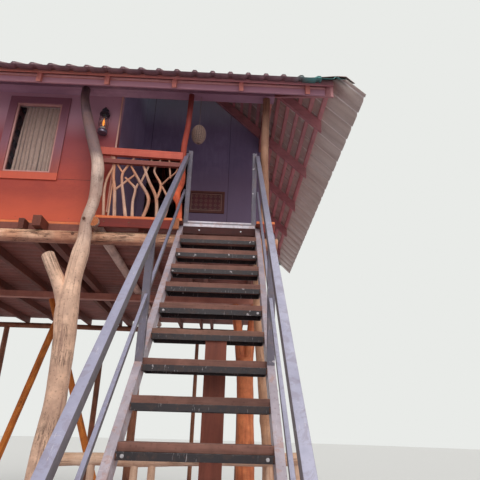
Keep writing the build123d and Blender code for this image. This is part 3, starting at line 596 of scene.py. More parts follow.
@dataclass(frozen=True)
class RoofMetal(Finish):
    """Coated roof sheet, faded and stained along its ribs."""

    base: str
    fade: str
    stain: str
    rough: float = 0.5
    stains: float = 0.5
    down: Grain = Grain.Y
    ribs: float = 0.0
    ribs_from: float = 0.0
    bands: Sequence[Band] = ()

    def sockets(self, tree: Tree) -> dict[str, object]:
        """Lays faded patches, stains that run down, pale lines along the ribs that are painted highlights, bands and
        specks.
        """
        place = tree.coordinates("Object")
        turned = tree.place(place, turn=self.down.value)
        runs = tree.step(tree.noise(tree.place(turned, (0.5, 9, 1)), 1.4, 5.0, 0.62), 0.38, 0.72)
        patches, specks, _ = WEATHER(tree, Vector=place, Size=1.7, Seed=7.0)
        colour = tree.coat(paint(self.base), (patches, 0.6, self.fade), (runs, self.stains, self.stain))
        # Near-white lines along the ribs: painted highlights on the ribs of the underside.
        if self.ribs:
            across = tree.apart(place)[1] - self.ribs_from
            line = SEAMS(tree, Across=across, Width=self.ribs, Gap=0.022)[0]
            colour = tree.coat(colour, (line, 0.8, "fff8f0"))
        return {
            "Base Color": tree.coat(tree.banded(place, colour, self.bands), (specks, 0.25, "3b2a24")),
            "Metallic": 0.15,
            "Roughness": tree.math("MULTIPLY_ADD", runs, 0.2, self.rough),
            "Normal": tree.bump(tree.noise(place, 14.0, 4.0), 0.2, 0.004),
        }


@dataclass(frozen=True)
class Glass(Finish):
    """Clear glass with a film of dust."""

    tint: str
    dust: float = 0.06
    rough: float = 0.02
    body: float = 0.1

    def sockets(self, tree: Tree) -> dict[str, object]:
        """Lays the film of dust on clear glass."""
        place = tree.coordinates("Object")
        film = WEATHER(tree, Vector=place, Size=5.0)[0] * self.dust
        return {
            "Base Color": tree.mix(film, paint(self.tint), paint("b9a793")),
            "Roughness": film + self.rough,
            "Transmission Weight": 0.9,
            "IOR": 1.2,
            "Alpha": film * 1.2 + self.body,
            "Normal": tree.bump(tree.noise(place, 6.0, 2.0), 0.05, 0.002),
        }


@dataclass(frozen=True)
class Cloth(Finish):
    """Woven curtain cloth, on the piece's own UV map in metres."""

    base: str
    shade: str

    def sockets(self, tree: Tree) -> dict[str, object]:
        """Weaves the threads and paints shade into the folds."""
        height, slub = WEAVE(tree, Vector=tree.coordinates("UV"), Threads=1800.0)
        # The fold value from the mesh lays painted shade into the folds.
        layers = ((tree.step(slub, 0.35, 0.7), 0.8, self.shade), (tree.attribute("fold_shade"), 0.9, "3a3029"))
        return {
            "Base Color": tree.coat(paint(self.base), *layers),
            "Roughness": 0.88,
            "Sheen Weight": 0.25,
            "Normal": tree.bump(height, 0.35, 0.0006),
        }


@dataclass(frozen=True)
class Plain(Finish):
    """A small fitting's finish: one tone with fine noise, specks and its own gloss."""

    base: str
    shade: str
    rough: float = 0.5
    metal: float = 0.0
    glow: float = 0.0
    bump: float = 0.2
    scale: float = 40.0

    def sockets(self, tree: Tree) -> dict[str, object]:
        """Clouds the tone, and lets it glow where the finish does."""
        cloudy = tree.step(tree.noise(tree.coordinates("Object"), self.scale, 5.0, 0.65), 0.35, 0.68)
        colour = tree.coat(paint(self.base), (cloudy, 0.7, self.shade))
        glowing = {"Emission Color": colour, "Emission Strength": self.glow} if self.glow else {}
        return {
            "Base Color": colour,
            "Metallic": self.metal,
            "Roughness": tree.math("MULTIPLY_ADD", cloudy, 0.18, self.rough - 0.09),
            "Normal": tree.bump(cloudy, self.bump, 0.001),
            **glowing,
        }


@dataclass(frozen=True)
class Print(Finish):
    """A generic printed panel: a dark red field with a border and rows of lozenges."""

    centre: tuple[float, float]
    size: tuple[float, float]
    border: float = 0.018
    cells: float = 14.0

    def sockets(self, tree: Tree) -> dict[str, object]:
        """Draws the border and the lozenges on a faded field."""
        place = tree.coordinates("Object")
        x, _, z = tree.apart(place)
        off = [size / 2 - abs(v - centre) for v, centre, size in zip((x, z), self.centre, self.size)]
        inner = tree.math("MINIMUM", *off)
        line = 1.0 - tree.step(abs(inner - self.border), 0.0015, 0.004)
        cell_x, cell_z = (abs(tree.math("FRACT", v * self.cells) - 0.5) for v in (x, z))
        lozenge = (1.0 - tree.step(abs(cell_x + cell_z - 0.3), 0.03, 0.07)) * tree.step(inner, 0.026, 0.03)
        faded = tree.step(tree.noise(place, 9.0, 4.0), 0.35, 0.7)
        layers = ((faded, 0.5, "3c2228"), (lozenge, 0.6, "b5907a"), (line, 0.7, "c9a98a"))
        return {
            "Base Color": tree.coat(paint("6a2f33"), *layers),
            "Roughness": 0.35,
            "Normal": tree.bump(faded, 0.08, 0.001),
        }


# -------------------------------------------------------------------------- finishes

X, Z = 0, 2

# Wall bands: a darker purple from 4.5 m up is painted shade under the eaves, a pale lilac from 4.95 m up is painted
# light in that shade, and a brighter orange below 3.9 m is painted light on the foot of the wall.
WALL = Timber("wall_stain", "b44432", "8a3028", "cc6644", figure=0.5, fibre=0.3, patches=0.45, rough=0.5, bump=0.18,
              stretch=0.3, rings=3.0, wear=0.15, spots=0.06, streaks=0.12, boards=1.22, boards_from=0.535,
              bands=((Z, 4.5, FAR, 0.4, "8c4a54", 0.9), (Z, 4.95, FAR, 0.25, "d8b0be", 0.9),
                     (Z, -FAR, 3.9, 0.25, "ee6a40", 0.68)))
# Porch walls: the pale lilac tone is painted light over the dark stain of the boards, which stand in shade; darker
# below 5.2 m, and near white from 6.2 m up as more painted light.
INNER_WALL = Timber("inner_wall_stain_painted_light", "9a8cac", "786c8a", "b0a4c0", Grain.Z, figure=0.3, patches=0.5, stretch=0.3,
                    boards=1.22, across=X, worn="9a8a9a", wear=0.2,
                    bands=((Z, -FAR, 5.2, 0.25, "7e687e", 0.85), (Z, 6.2, FAR, 0.35, "e4f4ff", 0.85)))
# Roof timber under the eaves: pale, greyed pinks of the red stain, lifted as painted light in the shade under the
# roof.
RED_X = Timber("red_timber_x", "cc8c8c", "9c6c6e", "e4a8a2", rough=0.5)
RED_Y = Timber("red_timber_y", "c07066", "8e5048", "dc9484", Grain.Y, patches=0.45, rough=0.55)
SLAT = Timber("slat_timber", "f6b0ae", "b67c7a", "ffd0c6", Grain.Y)
# Fascia bands: a duller purple on the lower board, below 5.222 m, is painted shade; the boards also turn duller right
# of x = -0.6 m.
RED_FASCIA = Timber("red_fascia", "ce7c6c", "9c544a", "e8ac96", patches=0.3, wear=0.5, rough=0.5,
                    bands=((Z, -FAR, 5.222, 0.012, "b08898", 0.75), (X, -0.6, FAR, 0.8, "a87c8c", 0.5)))
RAIL = Timber("balcony_rail", "c2503e", "963a2c", "dc8064", patches=0.25, wear=0.6, rough=0.5,
              bands=((Z, -FAR, 4.377, 0.003, "6a3a34", 0.8),))
# Wall plate: a pale pink of the red stain, lifted as painted light in the shade under the eaves; darker right of x =
# -0.8 m and left of x = -1.9 m.
PLATE = Timber("plate_timber", "cca0ae", "9a707c", "e0bcc4", patches=0.45,
               bands=((X, -0.8, FAR, 0.5, "8a6074", 0.6), (X, -FAR, -1.9, 0.4, "9a7088", 0.5)))
BEAM = Timber("beam_timber", "bc7a66", "885244", "d89a80", patches=0.45)
FLOOR_X = Timber("floor_timber_x", "8c5044", "58322a", "ae705c", patches=0.5, rough=0.7, seed=3.0)
# Joists: darker than the planks so that their ends read as the shade under the deck: painted shade.
FLOOR_Y = Timber("floor_timber_y", "6f3a2e", "46221c", "96583f", Grain.Y, patches=0.5, rough=0.7)
# Front faces of the planks: a bright orange copy of the floor timber, painted light on the faces that catch the light.
LIT_LIP = Timber("deck_lip_painted_light", "e2703c", "ac4a2c", "f8a868", patches=0.25, wear=0.6, rough=0.5)
# Board behind the fascia: a near white pink, painted light in the shaded gap behind the fascia.
LIT_FILLET = Timber("eave_fillet_painted_light", "eeb4ac", "cc8c86", "f8ccc4", patches=0.15, figure=0.15)
EDGE = Timber("edge_board", "7c2219", "4c1712", "9c3e2c", wear=0.12)
DARK_BOARD = Timber("landing_board", "421d1a", "2a1210", "5c2c26", rough=0.7, wear=0.08)
TREAD = Timber("worn_tread", "825649", "4c342e", "aa7c6c", fibre=0.45, patches=0.5, wear=0.4, worn="b08a76",
               rough=0.72, bump=0.6, stretch=0.06, spots=0.25,
               bands=((Z, 0.66, 0.75, 0.004, "6e6468", 0.75), (Z, 2.13, 2.21, 0.004, "b58e74", 0.15)))
TRIM = Timber("pale_strip", "d09a90", "a06860", "e4b8ae", Grain.Z, patches=0.35, rough=0.55, wear=0.4)
FRAME = Timber("frame_wood", "6e4038", "4a2a26", "8c5a4c", patches=0.3, wear=0.5, worn="c08e78")
# Architrave bands: purple from 4.5 m up is painted shade under the eaves, bright red-orange below 4.265 m is painted
# light as on the wall, and a pale stripe runs at the corner.
ARCHITRAVE = Timber("red_architrave", "9c463c", "783834", "c06a58", Grain.Z, patches=0.3, rough=0.5,
                    bands=((Z, 4.5, FAR, 0.25, "865c6a", 0.85), (Z, -FAR, 4.265, 0.01, "dc6040", 0.65),
                           (X, -1.362, -1.344, 0.003, "e2ae98", 0.8)))
POST = Timber("square_post", "8a4a3a", "5a2f25", "aa664e", Grain.Z, patches=0.45, rough=0.65)
BLOCK = Timber("wood_block", "b5693f", "7b4028", "d89a68", Grain.Z, patches=0.35, rough=0.65, wear=0.5)

# Bands: dark from 4.36 m and 4.75 m up is painted shade under the roof; a warm pale tone below 3.4 m is painted light.
PALE_LOG = Log("pale_log", "dec0ac", "8a685c", "f8e4d2", specks=0.55, warm="cc8c66", cracks=0.8, bump=0.8,
               bands=((Z, 4.36, FAR, 0.08, "5a4a54", 0.85), (Z, 4.75, FAR, 0.4, "5c4a5c", 0.8),
                      (Z, -FAR, 3.4, 0.5, "ffd0aa", 0.75)))
# Bands: a paler top above 3.475 m is painted light, a browner underside below 3.395 m is painted shade.
FRONT_LOG = Log("front_beam_wood", "f2ba96", "94604a", "ffdcb8", specks=0.5, patches=0.55, warmth=0.45,
                warm="cc784a", cracks=0.9, bump=0.9, seed=14.0,
                bands=((Z, 3.475, FAR, 0.012, "ffdcb4", 0.5), (Z, -FAR, 3.395, 0.012, "a05e4a", 0.5)))
RAIL_LOG = Log("ground_rail_log", "dcb496", "a67a60", "f4dcc0", specks=0.25, warmth=0.2, warm="d89a6c", seed=3.0)
# Band: darker from 3.6 m up is painted shade under the porch roof.
BROWN_LOG = Log("brown_log", "cca080", "865e4a", "e8bc98", specks=0.4, warm="c07e4c", warmth=0.5, seed=5.0,
                bands=((Z, 3.6, FAR, 0.3, "8a6252", 0.6),))
ORANGE_LOG = Log("orange_log", "d87428", "96481a", "f4a44c", specks=0.3, warm="e08838", seed=9.0)
RED_TRUNK = Log("red_trunk", "d67446", "843e26", "f0a068", specks=0.35, warm="c8643a", seed=2.0)
UNDER_LOG = Log("under_log", "8c563e", "553222", "b07e5c", specks=0.4, warm="b0623a", seed=6.0)
BRANCH = Log("crooked_branch", "d8aa90", "946a58", "f2d0b4", specks=0.3, cracks=0.4, warm="d0763a", warmth=0.6,
             seed=8.0)
# Bands: darker from 4.95 m up is painted shade under the roof; a bright orange below 4.2 m is painted light.
STAINED_LOG = Log("stained_log", "b04434", "7a2c24", "d06a48", specks=0.25, cracks=0.4, patches=0.5, warmth=0.0,
                  seed=11.0, bands=((Z, 4.95, FAR, 0.4, "744048", 0.8), (Z, -FAR, 4.2, 0.25, "ff7848", 0.8)))
PALE_END = EndGrain("pale_end", "c48f62", "8a5636")
ORANGE_END = EndGrain("orange_end", "d0804a", "8c4526")

# Band: darker from 3.72 m up is painted shade on the newels above the landing.
STEEL = Steel("grey_steel", "bcaeb4", "b48e82", "847a84", rubbing=0.6, dirt=0.5, specks=0.3,
              bands=((Z, 3.72, FAR, 0.15, "80727a", 0.65),))
BALUSTER_STEEL = Steel("baluster_steel", "6c6572", "7c6c6a", "48434c", dirt=0.5, specks=0.3)
BAR_STEEL = Steel("landing_bar_steel", "d6ced4", "b48e82", "8c8288", dirt=0.4, specks=0.2,
                  bands=((Z, 3.642, 3.662, 0.003, "3a2c34", 0.75),))
DARK_STEEL = Steel("tread_frame_steel", "281e22", "4a3a34", "181216", rubbing=0.45, dirt=0.5)
# Hand rails: the darker steel on their sides and undersides is painted shade, the paler one on their tops is their
# own. Bands on the tops: the left rail darker, and both darker from 2.9 m up, as painted shade.
RAIL_SHADE_SIDE = Steel("hand_rail_painted_shade", "6c6468", "8a7c84", "4c464c", rubbing=0.4, dirt=0.4, specks=0.15)
RAIL_STEEL = Steel("hand_rail_steel", "b4b1c2", "8a7c84", "807c92", rubbing=0.35, dirt=0.4, specks=0.1,
                   bands=((X, -FAR, LEVELS.middle, 0.05, "84809a", 0.4), (Z, 2.9, FAR, 0.5, "585668", 0.65)))
TEAL_END = ((X, 0.8, FAR, 0.12, "4f9690", 0.85),)
BROWN_TONES = ("7c5f60", "9a7b76", "4f3b3c")
BROWN_UNDER_TONES = ("84646a", "9c7c7c", "5a4246")
SHEET_BROWN = RoofMetal("sheet_brown", *BROWN_TONES, bands=TEAL_END)
SHEET_BROWN_UNDER = RoofMetal("sheet_brown_under", *BROWN_UNDER_TONES, bands=TEAL_END)
SHEET_LEFT = RoofMetal("sheet_left", *BROWN_TONES, down=Grain.X)
SHEET_LEFT_UNDER = RoofMetal("sheet_left_under", *BROWN_UNDER_TONES, down=Grain.X)
SHEET_GREEN = RoofMetal("sheet_green", "4f8a86", "7ba9a2", "38615d", down=Grain.X)
# Under the right slope: ribs=0.28 lays near-white lines along the ribs as painted highlights.
SHEET_BEIGE_UNDER = RoofMetal("sheet_beige_under", "cdbcae", "ddd0c4", "a08c7e", down=Grain.X, stains=0.35,
                              ribs=0.28, ribs_from=0.9095)
CAP = RoofMetal("cap_metal", "6b4f4c", "8b6a62", "44322f")
GLASS = Glass("pane_glass", "b4a2ae")
LAMP_GLASS = Glass("lamp_glass", "dfe2dc", dust=0.3)
CURTAIN = Cloth("curtain_cloth", "c6ac98", "8c7468")
LAMP_METAL = Plain("lamp_metal", "4a4650", "2a2830", rough=0.35, metal=0.6)
LAMP_TANK = Plain("lamp_tank", "7a7080", "4a4452", rough=0.25, metal=0.4)
FLAME = Plain("flame", "ff8a2a", "ffb14a", glow=1.2, scale=60.0)
BURNER = Plain("burner", "c9bcae", "8f8377", rough=0.4, metal=0.6)
FIBRE = Plain("woven_strand", "b09484", "6c5044", rough=0.85, bump=0.5, scale=90.0)
# A dark tone for the shell inside the woven hanging: painted shade inside the ball.
SHADE_SHELL = Plain("woven_shell_painted_shade", "3c2a26", "281c1a", rough=0.9, bump=0.5, scale=60.0)
BOLT = Plain("bolt_steel", "c4bfc2", "857b7c", rough=0.35, metal=0.75)
RUSTY = Plain("rusty_iron", "5b4036", "8a5236", rough=0.7, metal=0.4, bump=0.5)


# ------------------------------------------------------------------------ mesh tools

TURN = 2 * math.pi
SHARP_RIM = 1.2


def slab(
    mesh: bmesh.types.BMesh,
    low: Sequence[float],
    high: Sequence[float],
    edge: float = 0.003,
    turn: Matrix | None = None,
    cuts: int = 0,
) -> list[bmesh.types.BMVert]:
    """Adds a board between two corners.

    Args:
        mesh: The bmesh that it goes into.
        low: Its lowest corner.
        high: Its highest corner.
        edge: Width of the rounding along its edges, or 0.
        turn: A turn about its own middle, or None.
        cuts: Cuts across its length along X.

    Returns:
        The board's vertices.
    """
    low_corner, high_corner = Vector(low), Vector(high)
    size = high_corner - low_corner
    place = Matrix.Translation((low_corner + high_corner) / 2)
    if turn is not None:
        place = place @ turn.to_4x4()
    place = place @ Matrix.Diagonal((*size, 1.0))
    before = set(mesh.verts)
    verts = bmesh.ops.create_cube(mesh, size=1.0, matrix=place)["verts"]
    edges = list(dict.fromkeys(e for v in verts for e in v.link_edges))
    if cuts:
        along = [e for e in edges if abs((e.verts[0].co - e.verts[1].co).x) > size.x * 0.7]
        bmesh.ops.subdivide_edges(mesh, edges=along, cuts=cuts)
        verts = [v for v in mesh.verts if v not in before]
        edges = [e for e in dict.fromkeys(e for v in verts for e in v.link_edges) if e.calc_face_angle(0.0) > 0.5]
    if edge:
        bmesh.ops.bevel(mesh, geom=edges, offset=edge, offset_type="OFFSET", segments=2, profile=0.5,
                        affect="EDGES", material=-1, clamp_overlap=True)
    return [v for v in mesh.verts if v not in before]


def ring_of(made: dict) -> tuple[list[bmesh.types.BMVert], list[bmesh.types.BMEdge]]:
    """The new vertices and edges of an extruded ring."""
    verts = [g for g in made["geom"] if isinstance(g, bmesh.types.BMVert)]
    new = set(verts)
    edges = [g for g in made["geom"] if isinstance(g, bmesh.types.BMEdge) and set(g.verts) <= new]
    return verts, edges


def peg(
    mesh: bmesh.types.BMesh, place: Matrix, radii: tuple[float, float], height: float, sides: int, rim: float,
    segments: int = 1,
) -> None:
    """Adds a short cone or cylinder with rounded rims.

    Args:
        mesh: The bmesh that it goes into.
        place: Where its middle is, and which way its Z points.
        radii: The radius at its foot and at its top.
        height: Its height.
        sides: Faces round its axis.
        rim: Width of the rounding along its rims.
        segments: Faces across the rounding.
    """
    verts = bmesh.ops.create_cone(mesh, cap_ends=True, segments=sides, radius1=radii[0], radius2=radii[1],
                                  depth=height, matrix=place)["verts"]
    rims = list(dict.fromkeys(e for v in verts for e in v.link_edges if e.calc_face_angle(0.0) > SHARP_RIM))
    bmesh.ops.bevel(mesh, geom=rims, offset=rim, segments=segments, profile=0.5, affect="EDGES", material=-1)


def thicken(made: bpy.types.Object, thickness: float, offset: float = 0.0) -> bpy.types.Modifier:
    """Gives a thin surface its thickness, about its middle or to one side."""
    thick = made.modifiers.new("thickness", "SOLIDIFY")
    thick.thickness = thickness
    thick.offset = offset
    return thick


def smooth_path(stations: Sequence[Station], step: float) -> list[tuple[Vector, float]]:
    """Points on a smooth curve through stations, with a radius at each.

    Args:
        stations: Places and radii, in order.
        step: The distance between points, about.

    Returns:
        The points and their radii.
    """
    points = [Vector(s[:3]) for s in stations]
    radii = [s[3] for s in stations]
    out: list[tuple[Vector, float]] = []
    for i in range(len(points) - 1):
        before = points[max(i - 1, 0)]
        after = points[min(i + 2, len(points) - 1)]
        a, b = points[i], points[i + 1]
        tangent_a = (b - before) * 0.5
        tangent_b = (after - a) * 0.5
        scale = (b - a).length
        for tangent in (tangent_a, tangent_b):
            if tangent.length > scale:
                tangent *= scale / tangent.length
        count = max(1, round(scale / step))
        for k in range(count):
            t = k / count
            h = (2 * t**3 - 3 * t**2 + 1, t**3 - 2 * t**2 + t, -2 * t**3 + 3 * t**2, t**3 - t**2)
            spot = a * h[0] + tangent_a * h[1] + b * h[2] + tangent_b * h[3]
            ease = t * t * (3 - 2 * t)
            out.append((spot, radii[i] + (radii[i + 1] - radii[i]) * ease))
    out.append((points[-1], radii[-1]))
    return out


@dataclass
class RoundTimber:
    """A natural log or branch: a ring of vertices extruded along a smooth line."""

    stations: Sequence[Station]
    seed: float = 0.0
    sides: int = 20
    step: float = 0.06
    waviness: float = 0.06
    knots: Sequence[Ring] = ()
    rim: float = 0.006

    def poses(self) -> list[tuple[Matrix, float, float]]:
        """The frame of each ring: its matrix, its radius and how far along it is."""
        path = smooth_path(self.stations, self.step)
        (foot, foot_radius), (head, head_radius) = path[0], path[-1]
        rim = min(self.rim, foot_radius * 0.3)
        facing = (path[1][0] - foot).normalized()
        end = (head - path[-2][0]).normalized()
        path = [(foot, foot_radius - rim * 0.7), (foot + facing * rim, foot_radius), *path[1:-1],
                (head - end * rim, head_radius), (head, head_radius - rim * 0.7)]
        poses: list[tuple[Matrix, float, float]] = []
        rotation = facing.to_track_quat("Z", "Y")
        far = 0.0
        for i, (spot, radius) in enumerate(path):
            before = path[max(i - 1, 0)][0]
            far += (spot - before).length
            direction = (path[min(i + 1, len(path) - 1)][0] - before).normalized()
            rotation = facing.rotation_difference(direction) @ rotation
            facing = direction
            size = Matrix.Diagonal((radius, radius, radius, 1))
            poses.append((Matrix.Translation(spot) @ rotation.to_matrix().to_4x4() @ size, radius, far))
        return poses

    def build(self, mesh: bmesh.types.BMesh) -> None:
        """Adds the log to a bmesh that has its layers already."""
        along = mesh.verts.layers.float["along"]
        turn = mesh.verts.layers.float["turn"]
        knot = mesh.verts.layers.float["knot"]
        uv = mesh.loops.layers.uv.active
        poses = self.poses()
        ring = bmesh.ops.create_circle(mesh, segments=self.sides, radius=1.0, matrix=poses[0][0])["verts"]
        edges = first_edges = list(dict.fromkeys(e for v in ring for e in v.link_edges))
        every: list[tuple[bmesh.types.BMVert, Vector, float]] = []
        for i, (matrix, radius, far) in enumerate(poses):
            if i:
                ring, edges = ring_of(bmesh.ops.extrude_edge_only(mesh, edges=edges))
                bmesh.ops.transform(mesh, matrix=matrix @ poses[i - 1][0].inverted(), verts=ring)
            back = matrix.inverted()
            for vert in ring:
                local = back @ vert.co
                vert[turn] = math.atan2(local.y, local.x)
                vert[along] = far
                every.append((vert, matrix.translation, radius))
        for vert, centre, radius in every:
            self.shape(vert, centre, radius, vert[along], vert[turn], knot)
        ends = [bmesh.ops.contextual_create(mesh, geom=rim, mat_nr=1)["faces"][0] for rim in (first_edges, edges)]
        offset = self.seed * 1.37
        for face in {f for v, _, _ in every for f in v.link_faces}:
            if face in ends:
                face.material_index = 1
                middle = face.calc_center_median()
                axis = face.normal.to_track_quat("Z", "Y").inverted()
                for loop in face.loops:
                    flat = axis @ (loop.vert.co - middle)
                    loop[uv].uv = (flat.x, flat.y)
                continue
            anchor = face.loops[0].vert[turn]
            for loop in face.loops:
                angle = loop.vert[turn]
                if abs(angle - anchor) > math.pi:
                    angle -= math.copysign(TURN, angle - anchor)
                loop[uv].uv = (angle * self.stations[0][3] + offset, loop.vert[along] + offset)

    def shape(
        self, vert: bmesh.types.BMVert, centre: Vector, radius: float, far: float, angle: float, knot: object
    ) -> None:
        """Moves one vertex in or out for waves and knots."""
        out = vert.co - centre
        if out.length < 1e-6:
            return
        spot = Vector((math.cos(angle) * 0.9, math.sin(angle) * 0.9, far * 2.2)) + Vector((self.seed * 7.1,) * 3)
        shift = noise.noise(spot) * self.waviness * 1.2
        shift += noise.noise(spot * 3.7) * self.waviness * 0.45
        mark = 0.0
        for knot_far, knot_angle, size in self.knots:
            gap = math.remainder(angle - math.radians(knot_angle), TURN) * radius
            away = (gap**2 + (far - knot_far) ** 2) / (size * size)
            shift += math.exp(-away) * size * 0.35 / radius
            mark = max(mark, math.exp(-away / 0.16))
        vert[knot] = mark
        vert.co += out * shift
        vert.co.z = max(vert.co.z, 0.0)


def log_mesh() -> bmesh.types.BMesh:
    """An empty bmesh with the layers that round timber needs."""
    mesh = bmesh.new()
    for label in ("along", "turn", "knot"):
        mesh.verts.layers.float.new(label)
    mesh.loops.layers.uv.new("UVMap")
    return mesh


def turned_shape(
    mesh: bmesh.types.BMesh, profile: Sequence[tuple[float, float]], centre: Sequence[float], steps: int = 24
) -> None:
    """Spins a profile of (radius, height) points round an upright axis.

    Args:
        mesh: The bmesh that it goes into.
        profile: The outline from bottom to top.
        centre: A point on the axis, at height 0 of the profile.
        steps: Faces round the axis.
    """
    middle = Vector(centre)
    verts = [mesh.verts.new(middle + Vector((r, 0, h))) for r, h in profile]
    edges = [mesh.edges.new(pair) for pair in zip(verts, verts[1:])]
    bmesh.ops.spin(mesh, geom=verts + edges, cent=middle, axis=(0, 0, 1), angle=TURN, steps=steps, use_merge=True)
    bmesh.ops.remove_doubles(mesh, verts=list(mesh.verts), dist=0.00005)


def on_circle(centre: Sequence[float], radius: float, angle: float, lift: float, thickness: float) -> Station:
    """A station on a level circle, lifted over its centre."""
    x, y, z = centre
    return (x + radius * math.cos(angle), y + radius * math.sin(angle), z + lift, thickness)


def strand(
    mesh: bmesh.types.BMesh, stations: Sequence[Station], seed: float, step: float, waviness: float, sides: int = 6
) -> None:
    """Adds a thin wire, cord or bead along stations to a bmesh that has a log's layers."""
    RoundTimber(stations, seed, sides, step, waviness, rim=0.001).build(mesh)


def bolt(mesh: bmesh.types.BMesh, spot: Sequence[float], facing: Sequence[float], size: float = 0.009) -> None:
    """Adds a bolt head on a washer.

    Args:
        mesh: The bmesh that it goes into.
        spot: The middle of its foot.
        facing: The way that it points.
        size: Radius of the head.
    """
    place = Matrix.Translation(spot) @ Vector(facing).to_track_quat("Z", "Y").to_matrix().to_4x4()
    for radius, height, sides, lift in ((size * 1.7, size * 0.3, 16, 0.0), (size, size * 0.75, 6, size * 0.3)):
        middle = place @ Matrix.Translation((0, 0, lift + height / 2))
        peg(mesh, middle, (radius, radius * 0.94), height, sides, height * 0.15)


def piece(
    name: str,
    mesh: bmesh.types.BMesh,
    finishes: Sequence[Finish],
    stands_for: Sequence[str] = (),
    smooth: float = 0.6,
    recalculate: bool = True,
) -> bpy.types.Object:
    """Turns a bmesh into a finished piece that rides on the house.

    Args:
        name: The piece's name.
        mesh: Its bmesh, which is freed.
        finishes: Its finishes, in the order of their material numbers.
        stands_for: The CAD nodes that it replaces.
        smooth: Angle in radians up to which edges are shaded smooth.
        recalculate: Whether its normals are worked out again.

    Returns:
        The new object.
    """
    if recalculate:
        bmesh.ops.recalc_face_normals(mesh, faces=list(mesh.faces))
    for face in mesh.faces:
        face.smooth = True
    for edge in mesh.edges:
        edge.smooth = len(edge.link_faces) != 2 or edge.calc_face_angle(0.0) < smooth
    data = bpy.data.meshes.new(name)
    mesh.to_mesh(data)
    mesh.free()
    made = bpy.data.objects.new(name, data)
    bpy.context.scene.collection.objects.link(made)
    for finish in finishes:
        data.materials.append(finish())
    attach(made, "root")
    if stands_for:
        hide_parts(*stands_for)
    log.info("%s: %d faces", name, len(data.polygons))
    return made


def dress(finish: Finish, *nodes: str) -> None:
    """Gives CAD nodes a finish.

    Args:
        finish: The finish.
        *nodes: Names of CAD nodes.
    """
    material = finish()
    for name in nodes:
        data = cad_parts[name].data
        data.materials.clear()
        data.materials.append(material)
        log.info("%s: dressed in %s", name, material.name)


# ---------------------------------------------------------------------------- studio


@dataclass
class Studio:
    """Camera, lamps, background and floor."""

    place: tuple[float, float, float] = (0.0779, -3.5035, 1.5475)
    yaw: float = 1.61
    pitch: float = 21.33
    roll: float = 1.65
    lens: float = 36.02
    shift: float = -0.0079
    sky: float = 0.6
    sky_tone: str = "eef1f6"
    key: float = 1.32
    backdrop: str = "e9ebe8"
    ground: str = "d8d6d0"
    ground_bounce: str = "b9b0bb"

    def camera(self) -> None:
        """Stands the camera where the photograph was taken from."""
        yaw, pitch, roll = (math.radians(a) for a in (self.yaw, self.pitch, self.roll))
        ahead = Vector((math.sin(yaw) * math.cos(pitch), math.cos(yaw) * math.cos(pitch), math.sin(pitch)))
        level = Vector((math.cos(yaw), -math.sin(yaw), 0.0))
        up = level.cross(ahead)
        right = level * math.cos(roll) + up * math.sin(roll)
        top = up * math.cos(roll) - level * math.sin(roll)
        turn = Matrix((right, top, -ahead)).transposed()
        data = bpy.data.cameras.new("camera")
        data.lens = self.lens
        data.sensor_width = 36.0
        data.shift_x = self.shift
        data.clip_start, data.clip_end = 0.05, 200.0
        made = bpy.data.objects.new("camera", data)
        made.matrix_world = Matrix.Translation(self.place) @ turn.to_4x4()
        bpy.context.scene.collection.objects.link(made)
        bpy.context.scene.camera = made

    def lamps(self) -> None:
        """Hangs one broad key lamp, two soft fills and a low one that reaches into the porch."""
        for name, power, angle, turn in (
            ("key", self.key, 50.0, (50.0, 0.0, 24.0)),
            ("fill", self.key * 0.25, 120.0, (66.0, 0.0, -48.0)),
            ("low", self.key * 0.7, 70.0, (86.0, 0.0, 4.0)),
            ("back", self.key * 0.25, 120.0, (50.0, 0.0, 190.0)),
        ):
            data = bpy.data.lights.new(name, "SUN")
            data.energy = power
            data.angle = math.radians(angle)
            made = bpy.data.objects.new(name, data)
            made.rotation_euler = [math.radians(a) for a in turn]
            bpy.context.scene.collection.objects.link(made)

    def seen(self, tree: Tree) -> Value:
        """1 for rays that show the background: from the camera, a reflection or glass."""
        rays = tree.node("ShaderNodeLightPath").outputs
        shown = tree.math("MAXIMUM", rays["Is Camera Ray"], rays["Is Glossy Ray"])
        return tree.math("MAXIMUM", shown, rays["Is Transmission Ray"])

    def world(self) -> None:
        """Sets a pale background that lights the house softly."""
        world = bpy.data.worlds.new("studio")
        world.use_nodes = True
        world.node_tree.nodes.clear()
        tree = Tree(world.node_tree)
        light = tree.value("ShaderNodeBackground", {"Color": paint(self.sky_tone), "Strength": self.sky})
        view = tree.value("ShaderNodeBackground", {"Color": paint(self.backdrop), "Strength": 1.0})
        both = tree.value("ShaderNodeMixShader", {0: self.seen(tree), 1: light, 2: view})
        tree.node("ShaderNodeOutputWorld", {"Surface": both})
        bpy.context.scene.world = world

    def floor(self) -> None:
        """Lays a plain pale floor."""
        mesh = bmesh.new()
        bmesh.ops.create_circle(mesh, cap_ends=True, segments=96, radius=60.0)
        data = bpy.data.meshes.new("floor")
        mesh.to_mesh(data)
        mesh.free()
        made = bpy.data.objects.new("floor", data)
        bpy.context.scene.collection.objects.link(made)
        tones = (paint(self.ground_bounce), paint(self.ground))
        colour = lambda tree: {"Base Color": tree.mix(self.seen(tree), *tones), "Roughness": 0.9}
        data.materials.append(material_of("floor", colour))

    def build(self) -> None:
        """Sets up the whole studio."""
        bpy.context.scene.view_settings.view_transform = "Standard"
        self.camera()
        self.lamps()
        self.world()
        self.floor()


# ----------------------------------------------------------------------------- logs


